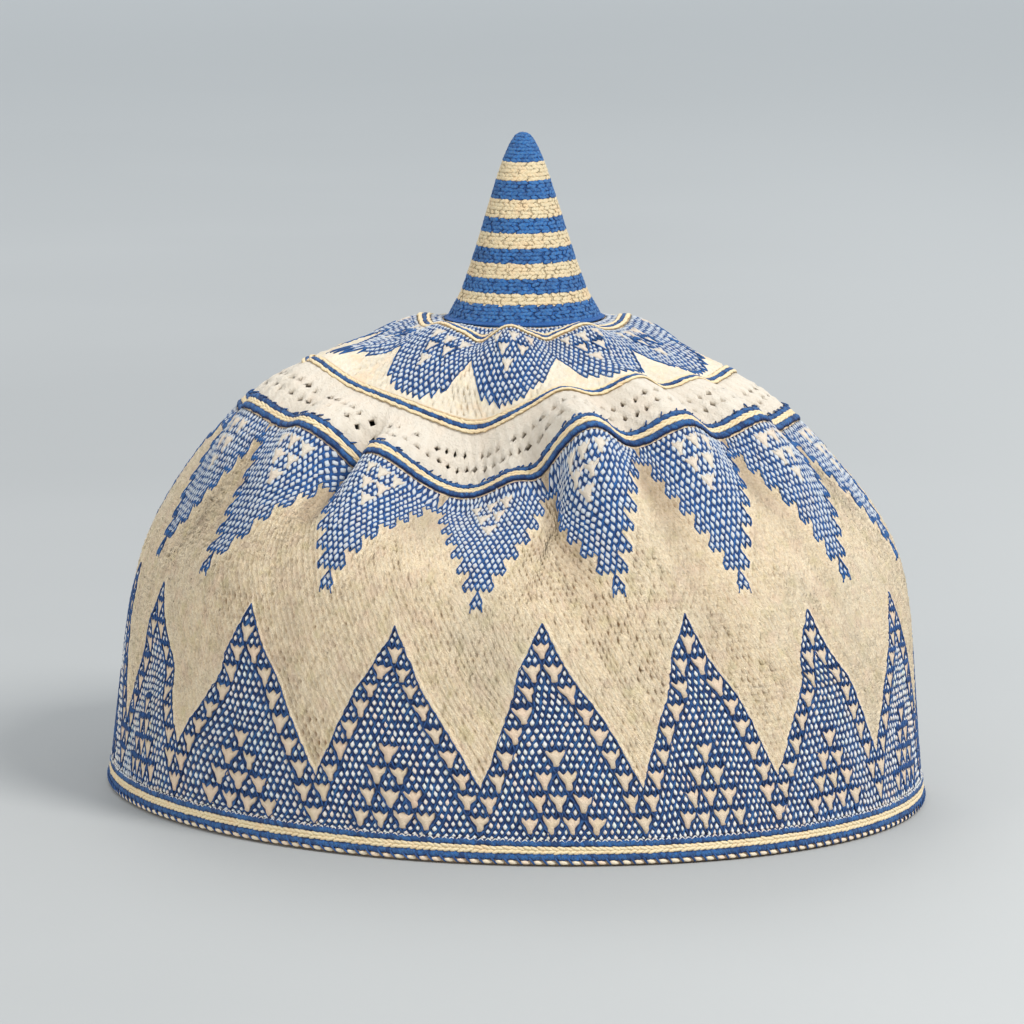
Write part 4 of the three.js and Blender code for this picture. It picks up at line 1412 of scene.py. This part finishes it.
def floor_material():
    material = bpy.data.materials.new("pale_floor")
    material.use_nodes = True
    tree = material.node_tree
    shader = tree.nodes["Principled BSDF"]
    place = node(tree, "ShaderNodeTexCoord").outputs["Object"]
    mottle = node(tree, "ShaderNodeTexNoise", Vector=place, Scale=3.0, Detail=3.0)
    # Painted light: the floor grows lighter towards the right of the view and further back behind the cap.
    near = blend(tree, spread(tree, mottle.outputs["Fac"], 0.35, 0.65), (0.380, 0.398, 0.405),
                 (0.402, 0.420, 0.427))
    aside = node(tree, "ShaderNodeVectorMath", {"operation": "DOT_PRODUCT"}, Vector=place)
    aside.inputs[1].default_value = (0.707, -0.707, 0)
    near = blend(tree, spread(tree, aside.outputs["Value"], -0.02, 0.20), near, (0.458, 0.478, 0.484))
    away = node(tree, "ShaderNodeVectorMath", {"operation": "DOT_PRODUCT"}, Vector=place)
    away.inputs[1].default_value = (0.707, 0.707, 0)
    colour = blend(tree, spread(tree, away.outputs["Value"], 0.3, 3.0), near, (0.665, 0.703, 0.716))
    tree.links.new(colour, shader.inputs["Base Color"])
    shader.inputs["Roughness"].default_value = 0.75
    grain = node(tree, "ShaderNodeTexNoise", Vector=place, Scale=900.0, Detail=2.0)
    relief = node(tree, "ShaderNodeBump", Height=grain.outputs["Fac"], Strength=0.05, Distance=0.0005)
    tree.links.new(relief.outputs["Normal"], shader.inputs["Normal"])
    return material


def make_floor():
    mesh = bpy.data.meshes.new("floor")
    corners = 64
    angle = 2 * np.pi * np.arange(corners) / corners
    reach = 14.0
    points = np.stack([reach * np.cos(angle), reach * np.sin(angle), np.zeros(corners)], -1)
    mesh.from_pydata(points.tolist(), [], [list(range(corners))])
    mesh.materials.append(floor_material())
    made = bpy.data.objects.new("floor", mesh)
    bpy.context.scene.collection.objects.link(made)


def area_light(name, place, size, power, colour):
    light = bpy.data.lights.new(name, "AREA")
    light.shape = "DISK"
    light.size = size
    light.energy = power
    light.color = colour
    made = bpy.data.objects.new(name, light)
    made.location = place
    made.rotation_euler = (Vector((0, 0, 0.05)) - Vector(place)).to_track_quat("-Z", "Y").to_euler()
    bpy.context.scene.collection.objects.link(made)


def make_world():
    world = bpy.data.worlds.new("studio")
    world.use_nodes = True
    background = world.node_tree.nodes["Background"]
    background.inputs["Color"].default_value = (0.90, 0.93, 0.96, 1)
    background.inputs["Strength"].default_value = 0.77
    bpy.context.scene.world = world


def make_camera():
    data = bpy.data.cameras.new("camera")
    data.lens = LENS_MM
    data.sensor_width = SENSOR_MM
    made = bpy.data.objects.new("camera", data)
    made.location = CAMERA_PLACE
    facing = (CAMERA_TARGET - CAMERA_PLACE).to_track_quat("-Z", "Y")
    made.rotation_euler = (facing @ Quaternion((0, 0, 1), CAMERA_ROLL)).to_euler()
    bpy.context.scene.collection.objects.link(made)
    bpy.context.scene.camera = made


make_floor()
area_light("key", (0.02, -1.15, 1.10), 0.5, 20.5, (1.0, 0.97, 0.93))
area_light("fill", (-1.5, 0.15, 0.30), 0.8, 7.2, (1.0, 0.92, 0.80))
area_light("back", (0.7, 0.9, 1.2), 0.8, 5.6, (1.0, 1.0, 1.0))
bpy.context.scene.view_settings.view_transform = "Standard"
make_world()
make_camera()

bpy.context.view_layer.update()
